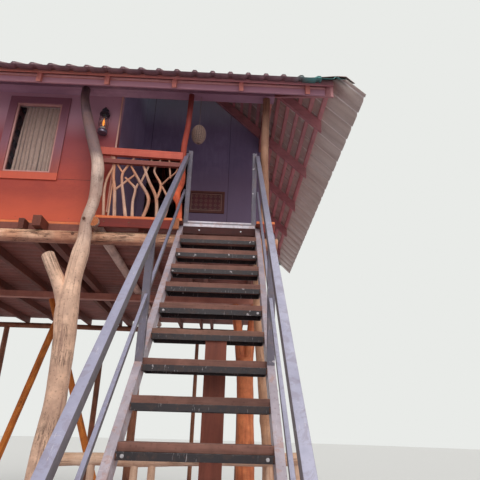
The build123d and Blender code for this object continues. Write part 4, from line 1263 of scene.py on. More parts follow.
@dataclass
class LogWork:
    """Posts, beams, props and branches of round timber."""

    stem: Sequence[Station] = (
        (-1.55, -0.01, 0.0, 0.115), (-1.497, -0.01, 1.143, 0.105), (-1.455, -0.01, 1.739, 0.1),
        (-1.465, -0.01, 2.302, 0.105), (-1.483, -0.01, 2.601, 0.115), (-1.47, -0.01, 2.968, 0.085),
        (-1.442, -0.01, 3.189, 0.088), (-1.425, -0.01, 3.393, 0.07), (-1.43, -0.01, 3.59, 0.06),
        (-1.385, -0.01, 3.832, 0.062), (-1.401, -0.01, 4.271, 0.068), (-1.483, -0.01, 4.531, 0.064),
        (-1.578, -0.005, 4.798, 0.062), (-1.697, 0.04, 5.2, 0.052), (-1.722, 0.1, 5.391, 0.05),
    )
    stub: Sequence[Station] = (
        (-1.522, -0.01, 2.65, 0.08), (-1.604, -0.01, 2.87, 0.074), (-1.7, -0.01, 3.04, 0.068),
        (-1.779, -0.01, 3.186, 0.066),
    )
    right_stem: Sequence[Ring] = (
        (0.6, 0.0, 0.085), (0.584, 1.143, 0.075), (0.573, 1.444, 0.075), (0.529, 1.995, 0.074),
        (0.494, 2.339, 0.074), (0.469, 2.649, 0.072), (0.457, 3.085, 0.07), (0.453, 3.4, 0.07),
    )
    trunk: Sequence[Sequence[Ring]] = (
        ((0.492, 0, 0.145), (0.467, 0.977, 0.132), (0.452, 1.7, 0.126), (0.431, 2.382, 0.128), (0.42, 2.56, 0.118)),
        ((0.4, 2.3, 0.09), (0.345, 2.7, 0.078), (0.292, 3.08, 0.07), (0.24, 3.412, 0.064)),
        ((0.455, 2.3, 0.09), (0.49, 2.7, 0.078), (0.525, 3.088, 0.07), (0.556, 3.412, 0.064)),
    )
    plain: Sequence[tuple[float, float, float, float, float]] = (
        (-4.55, 1.4505, 0.085, 0.075, 3.39), (-1.231, 4.1815, 0.062, 0.056, 3.412),
        (-4.55, 4.1815, 0.066, 0.058, 3.412),
        (-0.5, 6.8695, 0.042, 0.037, 3.425), (-2.5, 6.8695, 0.06, 0.052, 3.425),
        (-4.55, 6.8695, 0.066, 0.054, 3.425), (0.43, 6.8695, 0.062, 0.054, 3.425),
    )
    props: Sequence[Ring] = ((-3.341, -2.465, 4.1295), (-1.396, -2.733, 4.2335))
    pickets: Sequence[float] = (-1.051, -0.875, -0.662, -0.503, 0.567, 0.82)
    branches: Sequence[Sequence[Ring]] = (
        ((-1.27, 0, 0.02), (-1.3, 0.29, 0.018), (-1.29, 0.46, 0.016), (-1.24, 0.62, 0.014), (-1.238, 0.745, 0.013)),
        ((-1.22, 0, 0.013), (-1.222, 0.24, 0.011), (-1.22, 0.4, 0.009)),
        ((-1.15, 0, 0.025), (-1.19, 0.34, 0.023), (-1.22, 0.49, 0.019), (-1.23, 0.7, 0.016)),
        ((-1.18, 0.33, 0.017), (-1.08, 0.43, 0.015), (-0.97, 0.54, 0.012)),
        ((-1.13, 0.555, 0.013), (-1.2, 0.66, 0.014), (-1.28, 0.755, 0.015)),
        ((-1.03, 0, 0.023), (-1.09, 0.29, 0.02), (-1.12, 0.44, 0.018), (-1.12, 0.55, 0.018), (-1.01, 0.745, 0.014)),
        ((-0.958, 0, 0.024), (-0.97, 0.19, 0.02), (-0.96, 0.35, 0.018), (-1.02, 0.42, 0.016), (-1.09, 0.49, 0.014)),
        ((-0.965, 0.33, 0.015), (-0.948, 0.375, 0.015), (-0.938, 0.415, 0.013)),
        ((-0.84, 0, 0.024), (-0.8, 0.23, 0.022), (-0.92, 0.44, 0.02), (-1.04, 0.64, 0.015)),
        ((-0.905, 0.43, 0.015), (-0.86, 0.58, 0.014), (-0.81, 0.735, 0.012)),
        ((-0.69, 0, 0.024), (-0.72, 0.25, 0.022), (-0.82, 0.46, 0.019), (-0.915, 0.69, 0.015)),
        ((-0.71, 0.23, 0.018), (-0.68, 0.41, 0.017), (-0.77, 0.59, 0.014), (-0.708, 0.735, 0.012)),
        ((-0.68, 0.4, 0.013), (-0.6, 0.5, 0.012), (-0.52, 0.59, 0.01), (-0.5, 0.7, 0.009)),
        ((-0.58, 0.5, 0.011), (-0.61, 0.735, 0.013)),
        ((-0.61, 0, 0.02), (-0.58, 0.21, 0.017), (-0.665, 0.395, 0.013)),
    )
    porch: Sequence[Station] = (
        (-0.45, 0.048, 3.66, 0.037), (-0.462, 0.038, 3.851, 0.034), (-0.504, 0.03, 3.975, 0.054),
        (-0.45, 0.024, 4.11, 0.036), (-0.45, 0.02, 4.299, 0.034), (-0.454, 0.02, 4.566, 0.033),
        (-0.429, 0.06, 4.915, 0.033), (-0.423, 0.12, 5.391, 0.034),
    )
    corner: Sequence[Station] = (
        (0.505, 0.14, 3.66, 0.052), (0.505, 0.14, 4.178, 0.046), (0.495, 0.14, 4.512, 0.047),
        (0.513, 0.14, 5.391, 0.045),
    )
    stem_knots: Sequence[Ring] = (
        (3.62, -100, 0.05), (3.95, -60, 0.035), (3.42, -95, 0.03), (4.1, -130, 0.04), (1.4, -80, 0.03),
        (2.2, -110, 0.035),
    )
    beam_knots: Sequence[Ring] = ((1.2, 90, 0.03), (3.2, 140, 0.03), (4.0, 60, 0.025))
    rail_knots: Sequence[Ring] = ((0.3, -90, 0.03), (1.5, -60, 0.03), (2.0, -120, 0.03))
    under_beam: float = 3.412
    beam_run_out: float = 0.09
    joist_x: float = -1.35
    joist_radii: tuple[float, float] = (0.058, 0.055)
    rail_ends: tuple[tuple[float, float], tuple[float, float]] = ((-1.412, 1.232), (0.9, 1.286))
    branch_share: float = 0.84

    def standing(self, stations: Sequence[Station]) -> list[Station]:
        """Stations measured from the stair's middle and the deck's edge, in the frame."""
        return [(LEVELS.middle + x, LEVELS.edge + y, z, r) for x, y, z, r in stations]

    def upright(self, rings: Sequence[Ring], y: float, lift: float = 0.0, share: float = 1.0) -> list[Station]:
        """Stations from rings of (distance from the stair's middle, height, radius) at one place along Y."""
        return [(LEVELS.middle + x, y, lift + z, r * share) for x, z, r in rings]

    def make(
        self, name: str, logs: Sequence[RoundTimber], finishes: Sequence[Finish], node: str
    ) -> None:
        """Builds one piece from some logs."""
        mesh = log_mesh()
        for timber in logs:
            timber.build(mesh)
        piece(name, mesh, finishes, [node], smooth=0.9)

    def posts(self) -> None:
        """Builds the standing logs."""
        stem = RoundTimber(self.standing(self.stem), 1.0, 26, 0.05, 0.07, self.stem_knots)
        stub = RoundTimber(self.standing(self.stub), 2.0, 20, 0.04, 0.07)
        self.make("forked_post", [stem, stub], [PALE_LOG, PALE_END], "forked_log_post")
        right = RoundTimber(self.upright(self.right_stem, LEVELS.front_beam), 3.0, 24, 0.06, 0.06, [(1.6, -90, 0.03)])
        self.make("right_post", [right], [BROWN_LOG, PALE_END], "right_log_post")
        trunks = [
            RoundTimber(self.upright(rings, LEVELS.middle_beam), 4.0 + i, 24, 0.06, 0.07,
                        () if i else [(1.3, -90, 0.05)])
            for i, rings in enumerate(self.trunk)
        ]
        self.make("forked_trunk", trunks, [RED_TRUNK, ORANGE_END], "forked_trunk_post")
        plain = []
        for i, (x, y, foot, head, top) in enumerate(self.plain):
            rings = ((x, 0, foot), (x + 0.004, top * 0.5, (foot + head) / 2), (x, top, head))
            plain.append(RoundTimber(self.upright(rings, y), 7.0 + i, 18, 0.09, 0.05))
        self.make("under_deck_posts", plain, [UNDER_LOG, PALE_END], "under_posts")
        porch = RoundTimber(self.standing(self.porch), 15.0, 18, 0.04, 0.05)
        self.make("porch_log_post", [porch], [STAINED_LOG, PALE_END], "porch_post")
        corner = RoundTimber(self.standing(self.corner), 16.0, 20, 0.05, 0.06, [(0.5, -90, 0.02)])
        self.make("porch_corner_log", [corner], [BROWN_LOG, PALE_END], "porch_corner_post")
        props = [
            RoundTimber(self.upright(((foot, 0, 0.052), (head, self.under_beam, 0.05)), y), 17.0 + i, 18, 0.08, 0.06)
            for i, (foot, head, y) in enumerate(self.props)
        ]
        self.make("raking_prop_logs", props, [ORANGE_LOG, ORANGE_END], "raking_props")

    def lying(self) -> None:
        """Builds the lying logs."""
        left = LEVELS.left - self.beam_run_out
        for name, node, y, radius, end, finish in (
            ("front_beam_log", "front_beam", LEVELS.front_beam, 0.0725, LEVELS.right + 0.04, FRONT_LOG),
            ("rear_beam_log", "rear_beam", LEVELS.rear_beam, 0.055, LEVELS.right, UNDER_LOG),
        ):
            count = 7
            z = LEVELS.beam_top - radius
            stations = [
                (left + (end - left) * i / count, y + 0.004 * math.sin(i * 2.1), z + 0.003 * math.sin(i * 1.3),
                 radius * (0.97 + 0.03 * math.sin(i * 1.7)))
                for i in range(count + 1)
            ]
            timber = RoundTimber(stations, 20.0 + radius, 24, 0.07, 0.04, self.beam_knots)
            self.make(name, [timber], [finish, PALE_END], node)
        x = LEVELS.middle + self.joist_x
        head, tail = self.joist_radii
        z = LEVELS.joist_top - head
        stations = [(x, LEVELS.edge - 0.035, z, head), (x, 3.0, z, tail), (x, LEVELS.rear, z, tail)]
        joist = RoundTimber(stations, 24.0, 22, 0.08, 0.05)
        self.make("log_joist_timber", [joist], [PALE_LOG, ORANGE_END], "log_joist")
        self.ground_rail()

    def ground_rail(self) -> None:
        """Builds the rail between the front posts and its short posts."""
        (x0, z0), (x1, z1) = self.rail_ends
        y = LEVELS.edge + 0.02
        rise = (z1 - z0) / (x1 - x0)
        rail = []
        for i in range(7):
            x = x0 + (x1 - x0) * i / 6
            rail.append((x, z0 + (x - x0) * rise + 0.005 * math.sin(i * 2.3), 0.056 - 0.003 * math.sin(i * 1.9)))
        timbers = [RoundTimber(self.upright(rail, y), 26.0, 22, 0.05, 0.07, self.rail_knots)]
        for i, x in enumerate(self.pickets):
            rings = ((x, 0, 0.036), (x, z0 + (x - x0) * rise, 0.034))
            timbers.append(RoundTimber(self.upright(rings, y), 27.0 + i, 14, 0.08, 0.06))
        self.make("ground_rail_logs", timbers, [RAIL_LOG, PALE_END], "ground_rail")

    def infill(self) -> None:
        """Builds the crooked branches of the balcony."""
        timbers = []
        for i, rings in enumerate(self.branches):
            stations = self.upright(rings, LEVELS.edge + 0.03, LEVELS.deck, self.branch_share)
            timbers.append(RoundTimber(stations, 40.0 + i, 12, 0.03, 0.12, [(0.2 + 0.03 * i, -90, 0.012)]))
        self.make("balcony_branch_work", timbers, [BRANCH, PALE_END], "balcony_branches")

    def build(self) -> None:
        """Builds every log."""
        self.posts()
        self.lying()
        self.infill()


# -------------------------------------------------------------------------- platform


@dataclass
class Platform:
    """Floor planks, joists and the boards at the edge of the deck."""

    plank: float = 0.141
    gap: float = 0.002
    joint: float = 2.1
    stagger: float = 0.618
    shortest: float = 0.5
    unevenness: float = 0.0015
    rounding: float = 0.003
    balcony_left: float = 1.365
    stair_gap: float = 0.405
    edge_bolts: Sequence[float] = (-1.25, -0.98, -0.72, 0.52)
    post_bolts: Sequence[tuple[float, float]] = ((-1.53, 3.40), (-1.44, 3.58))

    def spans(self, y: float) -> list[tuple[float, float]]:
        """The stretches along X that a plank at a place along Y covers."""
        start = LEVELS.left if y >= LEVELS.front_wall else LEVELS.middle - self.balcony_left
        if y < LEVELS.landing:
            return [(start, LEVELS.middle - self.stair_gap), (LEVELS.middle + self.stair_gap, LEVELS.right)]
        return [(start, LEVELS.right)]

    def planks(self) -> None:
        """Lays the floor in separate planks, with butt joints here and there."""
        mesh = bmesh.new()
        rows = [(LEVELS.edge, LEVELS.landing), (LEVELS.landing, LEVELS.front_wall)]
        count = round((LEVELS.rear - LEVELS.front_wall) / self.plank)
        width = (LEVELS.rear - LEVELS.front_wall) / count
        rows += [(LEVELS.front_wall + i * width, LEVELS.front_wall + (i + 1) * width) for i in range(count)]
        for row, (y0, y1) in enumerate(rows):
            for start, end in self.spans((y0 + y1) / 2):
                cuts = [start]
                place = start + self.joint * (0.4 + 0.6 * ((row * self.stagger) % 1.0))
                while place < end - self.shortest:
                    cuts.append(place)
                    place += self.joint
                cuts.append(end)
                for a, b in zip(cuts, cuts[1:]):
                    drop = self.unevenness * abs(noise.noise((a * 3, y0 * 5, 0.3)))
                    slab(mesh, (a + self.gap / 2, y0 + (self.gap / 2 if row else 0), LEVELS.joist_top),
                         (b - self.gap / 2, y1 - self.gap / 2, LEVELS.deck - drop), self.rounding)
        # Front faces at the deck's edge and at the front wall take the bright orange finish: painted light.
        for face in mesh.faces:
            middle = face.calc_center_median()
            if face.normal.y < -0.3 and (middle.y < LEVELS.edge + 0.01 or abs(middle.y - LEVELS.front_wall) < 0.01):
                face.material_index = 1
        piece("floor_planks", mesh, [FLOOR_X, LIT_LIP], ["floor_boards"], smooth=0.5)

    def fixings(self) -> None:
        """Drives the bolts of the front post and of the edge boards."""
        mesh = bmesh.new()
        y = LEVELS.edge + 0.002
        for x in self.edge_bolts:
            bolt(mesh, (LEVELS.middle + x, y, LEVELS.joist_top - 0.045), (0, -1, 0), 0.005)
        for x, z in self.post_bolts:
            bolt(mesh, (LEVELS.middle + x, LEVELS.edge - 0.083, z), (0, -1, 0), 0.011)
        piece("deck_bolts", mesh, [RUSTY])

    def build(self) -> None:
        """Builds and dresses the platform."""
        self.planks()
        self.fixings()
        dress(FLOOR_Y, "floor_joists")
        dress(BEAM, "middle_beam")
        dress(FLOOR_X, "front_rim")
        dress(EDGE, "deck_edge_boards")
        dress(BLOCK, "porch_post_block")


# ----------------------------------------------------------------------------- stair


@dataclass
class Stair:
    """Treads, steel frames, rails and their fittings."""

    board: float = 0.045
    wave: float = 0.003
    bulged: int = 9
    bulge: float = 0.012
    worn: float = 0.06
    board_rounding: float = 0.006
    board_cuts: int = 28
    bolts_on: Sequence[int] = (2, 4, 6, 10, 13)
    landing_bolts: Sequence[float] = (-0.22, 0.24)
    splices: Sequence[float] = (-1.02, 0.62)
    splice: tuple[float, float, float] = (0.003, 0.09, 0.035)
    bead: float = 0.0035
    bead_step: float = 0.006
    rail_width: float = 0.046
    rail_depth: float = 0.058
    rail_height: float = 0.9
    rail_out: float = 0.012
    rail_run_out: float = 0.095
    mid_rail_place: float = 0.42
    mid_rail_width: float = 0.023
    mid_rail_depth: float = 0.03
    mid_rail_height: float = 0.41

    def treads(self) -> None:
        """Builds the worn tread boards."""
        mesh = bmesh.new()
        for number in range(1, LEVELS.risers):
            y = LEVELS.tread_front(number)
            z = LEVELS.rise * number
            verts = slab(mesh, (LEVELS.middle - LEVELS.half_stair, y, z - self.board),
                         (LEVELS.middle + LEVELS.half_stair, y + LEVELS.tread_depth, z),
                         self.board_rounding, cuts=self.board_cuts)
            reach = self.bulge if number == self.bulged else self.wave
            for vert in verts:
                if not vert.is_valid:
                    continue
                front = 1.0 - min(1.0, max(0.0, (vert.co.y - y) / self.worn))
                wave = noise.noise((vert.co.x * 7.0, number * 3.1, 0.0))
                fine = noise.noise((vert.co.x * 23.0, number * 5.3, vert.co.z * 9.0))
                vert.co.y += front * reach * (0.9 + wave * 1.0 + fine * 0.4)
                if vert.co.z > z - self.board / 2:
                    vert.co.z -= reach * 0.5 * (0.9 + wave + fine * 0.5) * (0.4 + 0.6 * front)
        piece("worn_treads", mesh, [TREAD], ["tread_boards"], smooth=0.9)

    def fittings(self) -> None:
        """Adds the bolts and the splice plates of the stringers."""
        mesh = bmesh.new()
        for number in self.bolts_on:
            z = LEVELS.rise * number - self.board - 0.02
            for side in (-1, 1):
                x = LEVELS.middle + side * (LEVELS.half_stair - 0.035)
                bolt(mesh, (x, LEVELS.tread_front(number), z), (0, -1, 0), 0.006)
        for x in self.landing_bolts:
            bolt(mesh, (LEVELS.middle + x, LEVELS.landing - 0.02, LEVELS.deck - 0.092), (0, -1, 0), 0.005)
        slope = math.atan2(LEVELS.rise, LEVELS.run)
        turn = Matrix.Rotation(slope, 3, "X")
        for side in (-1, 1):
            outer = LEVELS.middle + side * (LEVELS.half_stair + 0.05)
            for far in self.splices:
                y = LEVELS.landing + far - 0.9
                z = LEVELS.nosing(y) - 0.036 - 0.074
                middle, half = Vector((outer, y, z)), Vector(self.splice)
                slab(mesh, middle - half, middle + half, 0.001, turn)
                for step in (-0.06, 0.06):
                    spot = (outer + side * 0.003, y + step * math.cos(slope), z + step * math.sin(slope))
                    bolt(mesh, spot, (side, 0, 0), 0.007)
        piece("stair_fittings", mesh, [BOLT])

    def welds(self) -> None:
        """Lays weld beads where tread frames and balusters meet the stringers."""
        mesh = log_mesh()
        seed = 0.0
        for number in range(1, LEVELS.risers):
            y = LEVELS.tread_front(number) + 0.001
            z = LEVELS.rise * number - self.board - 0.037
            for side in (-1, 1):
                seed += 1.0
                x = LEVELS.middle + side * (LEVELS.half_stair - 0.003)
                stations = [(x, y, z + k * self.bead_step, self.bead + 0.0008 * math.sin(k * 2.6 + seed))
                            for k in range(6)]
                strand(mesh, stations, seed, 0.01, 0.1)
        piece("weld_beads", mesh, [RUSTY, RUSTY], smooth=1.0)

    def hand_rails(self) -> None:
        """Runs hand rails and mid rails up to the landing, with painted shade on their sides and undersides: a darker
        steel than on their tops.
        """
        for name, node, place, height, width, depth, foot, end in (
            ("hand_rails", "handrails", LEVELS.half_stair + self.rail_out, self.rail_height, self.rail_width,
             self.rail_depth, LEVELS.tread_front(1) - self.rail_run_out, LEVELS.landing),
            ("middle_rails", "mid_rails", self.mid_rail_place, self.mid_rail_height, self.mid_rail_width,
             self.mid_rail_depth, LEVELS.tread_front(1) + 0.008, LEVELS.landing + 0.025),
        ):
            mesh = bmesh.new()
            drop = depth * math.hypot(1.0, LEVELS.rise / LEVELS.run)
            for side in (-1, 1):
                x = LEVELS.middle + side * place
                profile = [mesh.verts.new((x - width / 2, y, LEVELS.nosing(y) + height - fall))
                           for y, fall in ((foot, 0.0), (end, 0.0), (end, drop), (foot, drop))]
                face = bmesh.ops.contextual_create(mesh, geom=profile)["faces"]
                verts, _ = ring_of(bmesh.ops.extrude_face_region(mesh, geom=face))
                bmesh.ops.translate(mesh, vec=(width, 0, 0), verts=verts)
            bmesh.ops.recalc_face_normals(mesh, faces=list(mesh.faces))
            bmesh.ops.bevel(mesh, geom=list(mesh.edges), offset=0.003, segments=2, profile=0.5,
                            affect="EDGES", material=-1)
            # Tops keep the paler steel; every other face takes the darker steel as painted shade.
            for face in mesh.faces:
                face.material_index = 0 if face.normal.z > 0.3 else 1
            piece(name, mesh, [RAIL_STEEL, RAIL_SHADE_SIDE], [node])

    def build(self) -> None:
        """Builds and dresses the stair."""
        self.treads()
        self.hand_rails()
        self.fittings()
        self.welds()
        dress(STEEL, "stringers")
        dress(BALUSTER_STEEL, "balusters")
        dress(BAR_STEEL, "landing_bars")
        dress(DARK_STEEL, "tread_frames")
        dress(DARK_BOARD, "landing_board")
        dress(POST, "stair_post")


# ----------------------------------------------------------------------------- cabin


@dataclass
class Cabin:
    """Walls, windows and curtains."""

    windows: Sequence[float] = (-2.297, -3.817)
    pleats: int = 9
    drop: float = 0.93
    width: float = 0.44
    depth: float = 0.0075
    cloth: float = 0.0008
    rod: float = 0.004
    mesh_size: tuple[int, int] = (132, 26)
    nail_rows: Sequence[float] = (3.70, 4.165, 4.225, 4.62, 5.05, 5.33)
    nail_step: float = 0.3
    nail: tuple[float, float] = (0.0045, 0.003)
    nail_height: float = 0.002
    beside_window: float = 0.4
    under_window: float = 4.15

    def curtain(self, name: str, node: str, rod: str) -> None:
        """Hangs one pleated curtain on its rod.

        Args:
            name: The curtain's name.
            node: The CAD node that it replaces.
            rod: The name of its rod.
        """
        low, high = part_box(node)
        top = high.z - 0.012
        right = high.x - 0.004
        middle = (low + high) / 2
        mesh = bmesh.new()
        place = Matrix.Translation((middle.x, middle.y, top - 0.006)) @ Matrix.Rotation(math.pi / 2, 4, "Y")
        peg(mesh, place, (self.rod, self.rod), high.x - low.x - 0.004, 12, 0.0008, 2)
        piece(rod, mesh, [BURNER])
        mesh = bmesh.new()
        uv = mesh.loops.layers.uv.new("UVMap")
        fold_shade = mesh.verts.layers.float.new("fold_shade")
        columns, rows = self.mesh_size
        verts = bmesh.ops.create_grid(mesh, x_segments=columns, y_segments=rows, size=0.5)["verts"]
        cut = 0.56
        for loop in (each for face in mesh.faces for each in face.loops):
            loop[uv].uv = ((loop.vert.co.x + 0.5) * cut, (loop.vert.co.y + 0.5) * self.drop)
        for vert in verts:
            across, down = vert.co.x + 0.5, 0.5 - vert.co.y
            spread = self.width + 0.045 * down
            sway = 0.018 * noise.noise((across * 2.0, down * 1.5, low.x))
            phase = across * self.pleats * TURN + 4.0 * noise.noise((across * 3.0, down * 0.8, low.x + 4.0))
            size = self.depth * (0.55 + 0.45 * down + 0.35 * noise.noise((across * 5.0, 2.0, low.x)))
            pinch = 1.0 - 0.55 * math.exp(-((down - 0.012) ** 2) / 0.0006)
            x = right - spread + across * spread + sway * down
            y = middle.y + size * pinch * math.sin(phase) + 0.002 * noise.noise((across * 9, down * 4, 1.0))
            # Painted shade for the pleats: darkest in their hollows, stronger lower down.
            shade = (0.4 + 0.3 * down) * (1.0 + 1.2 * noise.noise((across * 6.0, 1.0, low.x)))
            vert[fold_shade] = max(0.0, math.sin(phase)) ** 2 * shade
            vert.co = (x, y, top - down * self.drop)
        made = piece(name, mesh, [CURTAIN], [node], smooth=2.5)
        thicken(made, self.cloth)

    def nails(self) -> None:
        """Drives small nails along the edges of the wall sheets."""
        mesh = bmesh.new()
        facing = Matrix.Rotation(math.pi / 2, 4, "X")
        for z in self.nail_rows:
            x = LEVELS.left + 0.12
            while x < LEVELS.corner - 0.06:
                clear = all(abs(x - LEVELS.middle - w) > self.beside_window for w in self.windows)
                if clear or z < self.under_window:
                    place = Matrix.Translation((x, LEVELS.front_wall - self.nail_height / 2, z)) @ facing
                    peg(mesh, place, self.nail, self.nail_height, 8, self.nail_height / 4)
                x += self.nail_step
        piece("wall_nails", mesh, [RUSTY])

    def build(self) -> None:
        """Builds and dresses the cabin."""
        self.curtain("curtain_right", "window_curtain", "curtain_rod_right")
        self.curtain("curtain_left", "left_window_curtain", "curtain_rod_left")
        self.nails()
        dress(WALL, "front_wall", "left_wall", "rear_wall", "right_wall")
        dress(INNER_WALL, "porch_side_wall", "porch_back_wall_sides", "porch_back_wall_over_door")
        dress(TRIM, "window_trims")
        dress(ARCHITRAVE, "wall_trims")
        dress(GLASS, "window_panes")


# ------------------------------------------------------------------------------ roof


@dataclass
class Roof:
    """Ribbed sheets, caps, fascia and roof timber."""

    rib: float = 0.2
    wide_rib: float = 0.28
    rib_foot: float = 0.066
    rib_top: float = 0.03
    low: float = 0.0535
    high: float = 0.0815
    sheet: float = 0.0016
    closure: float = 0.001
    closure_rise: float = 0.016
    screw_rows: Sequence[float] = (3.12, 2.35, 1.6)
    screw: float = 0.006
    screw_off_rib: float = 0.034
    screw_margin: float = 0.15
    strip_in: float = 0.006
    strip_past_fascia: float = 0.0235
    strip_lifts: tuple[float, float] = (0.05, -0.027)
    fillet_in: float = 0.06
    fillet_inset: float = 0.08
    fillet_half: float = 0.009
    fillet_lifts: tuple[float, float] = (-0.0445, -0.012)

    def profile(self, mesh: bmesh.types.BMesh, reach: float, pitch: float) -> list[bmesh.types.BMEdge]:
        """Draws the ribbed outline of a sheet across the slope, from -reach to reach.

        Args:
            mesh: The bmesh that it goes into.
            reach: Half the width that it has to cover.
            pitch: The distance from rib to rib.

        Returns:
            Its edges.
        """
        period = [(0.0, self.low), (pitch - self.rib_foot, self.low),
                  (pitch - (self.rib_foot + self.rib_top) / 2, self.high),
                  (pitch - (self.rib_foot - self.rib_top) / 2, self.high), (pitch, self.low)]
        verts = [mesh.verts.new((s, 0, z)) for s, z in period]
        geom: list[object] = verts + [mesh.edges.new(pair) for pair in zip(verts, verts[1:])]
        count = math.ceil(2 * reach / pitch)
        for i in range(1, count):
            made = bmesh.ops.duplicate(mesh, geom=geom)["geom"]
            fresh = [g for g in made if isinstance(g, bmesh.types.BMVert)]
            bmesh.ops.translate(mesh, vec=(pitch * i, 0, 0), verts=fresh)
        bmesh.ops.remove_doubles(mesh, verts=list(mesh.verts), dist=0.0005)
        bmesh.ops.translate(mesh, vec=(-count * pitch / 2, 0, 0), verts=list(mesh.verts))
        return list(mesh.edges)

    def slope(self, name: str, node: str, side: tuple[int, int], finishes: Sequence[Finish], pitch: float) -> None:
        """Builds one ribbed slope of the roof.

        Args:
            name: The piece's name.
            node: The CAD slab that it replaces.
            side: The signs of the way that it faces along X and Y.
            finishes: Its outer and its under finish.
            pitch: The distance from rib to rib.
        """
        mesh = bmesh.new()
        long_side = side[1] != 0
        reach = LEVELS.hip_u(LEVELS.sheet_out_y) if long_side else LEVELS.sheet_out_y
        out = (LEVELS.sheet_out_y if long_side else LEVELS.sheet_out_x) - 0.0015
        inner = 0.0 if long_side else LEVELS.half_ridge
        half = LEVELS.half_y if long_side else LEVELS.half_x
        fall = LEVELS.front_fall if long_side else LEVELS.side_fall
        edges = self.profile(mesh, reach + 0.1, pitch)
        bmesh.ops.translate(mesh, vec=(0, out, (half - out) * fall), verts=list(mesh.verts))
        rows = 5
        for _ in range(rows):
            verts, edges = ring_of(bmesh.ops.extrude_edge_only(mesh, edges=edges))
            bmesh.ops.translate(mesh, vec=(0, (inner - out) / rows, (out - inner) / rows * fall), verts=verts)
        hip = LEVELS.hip_u(LEVELS.sheet_out_y) - LEVELS.half_ridge
        for sign in (-1, 1):
            if long_side:
                cuts = [((sign * LEVELS.half_ridge, 0, 0), (sign * LEVELS.sheet_out_y, -hip, 0))]
            else:
                cuts = [((0, LEVELS.half_ridge, 0), (sign * hip, -LEVELS.sheet_out_y, 0)),
                        ((sign * LEVELS.sheet_out_y, 0, 0), (sign, 0, 0))]
            for spot, normal in cuts:
                bmesh.ops.bisect_plane(mesh, geom=[*mesh.verts, *mesh.edges, *mesh.faces], dist=0.00001,
                                       plane_co=spot, plane_no=normal, clear_outer=True, clear_inner=False)
        axes = ((1, 0, 0), (0, side[1], 0)) if long_side else ((0, side[0], 0), (1, 0, 0))
        turn = Matrix((*axes, (0, 0, 1))).to_4x4()
        place = Matrix.Translation((LEVELS.roof_x, LEVELS.roof_y, LEVELS.eave)) @ turn
        bmesh.ops.transform(mesh, matrix=place, verts=list(mesh.verts))
        bmesh.ops.recalc_face_normals(mesh, faces=list(mesh.faces))
        if sum(face.normal.z * face.calc_area() for face in mesh.faces) < 0:
            bmesh.ops.reverse_faces(mesh, faces=list(mesh.faces))
        made = piece(name, mesh, finishes, [node], smooth=0.2, recalculate=False)
        thick = thicken(made, self.sheet, 1.0)
        thick.material_offset = 1
        thick.material_offset_rim = 1

    def screws(self) -> None:
        """Drives roofing screws through the ribs near the eaves."""
        mesh = bmesh.new()
        for row, v in enumerate(self.screw_rows):
            reach = LEVELS.hip_u(v) - self.screw_margin
            s = -math.floor(reach / (2 * self.rib)) * 2 * self.rib - self.screw_off_rib
            z = LEVELS.eave + (LEVELS.half_y - v) * LEVELS.front_fall + self.high + self.sheet - 0.001
            while s < reach:
                for side in (-1, 1):
                    spot = (LEVELS.roof_x + s, LEVELS.roof_y + side * v, z)
                    bolt(mesh, spot, (0, side * LEVELS.front_fall, 1), self.screw)
                s += self.rib * (2 + row)
        piece("roof_screws", mesh, [BOLT])

    def eave_strips(self) -> None:
        """Closes the front and rear eaves: rib ends, a ribbed strip under the edge, a pale board behind the fascia
        that is painted light in the shaded gap.
        """
        low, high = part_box("fascia_boards")
        strips, boards = bmesh.new(), bmesh.new()
        outer, inner = LEVELS.sheet_out_y - self.strip_in, LEVELS.half_y + self.strip_past_fascia
        base = LEVELS.eave + (LEVELS.half_y - outer) * LEVELS.front_fall
        far_edge, near_edge = (outer, base + self.strip_lifts[0]), (inner, LEVELS.eave + self.strip_lifts[1])
        foot_z, top_z = (LEVELS.eave + lift for lift in self.fillet_lifts)
        count = math.floor((high.x - low.x) / 2 / self.rib)
        foot, top = self.rib_foot / 2, self.rib_top / 2
        lift = self.closure_rise
        steps = ((-self.rib, 0.0), (-self.rib_foot, 0.0), (-foot - top, lift), (top - foot, lift), (0.0, 0.0))
        for side in (-1, 1):
            y = LEVELS.roof_y + side * outer
            for k in range(1 - count, count + 1):
                x = LEVELS.roof_x + k * self.rib
                for a, b in zip(steps, steps[1:]):
                    corners = ((a, *far_edge), (a, *near_edge), (b, *near_edge), (b, *far_edge))
                    verts = [strips.verts.new((x + s, LEVELS.roof_y + side * v, z + up)) for (s, up), v, z in corners]
                    bmesh.ops.contextual_create(strips, geom=verts)
                ends = [strips.verts.new((x - foot + s, y, base + z))
                        for s, z in ((-foot, self.low), (foot, self.low), (top, self.high), (-top, self.high))]
                bmesh.ops.contextual_create(strips, geom=ends)
            y = LEVELS.roof_y + side * (LEVELS.half_y - self.fillet_in)
            slab(boards, (low.x + self.fillet_inset, y - self.fillet_half, foot_z),
                 (high.x - self.fillet_inset, y + self.fillet_half, top_z), 0.002)
        bmesh.ops.remove_doubles(strips, verts=list(strips.verts), dist=0.0002)
        thicken(piece("eave_closures", strips, [SHEET_BROWN_UNDER], smooth=0.2), self.closure)
        piece("eave_fillets", boards, [LIT_FILLET])

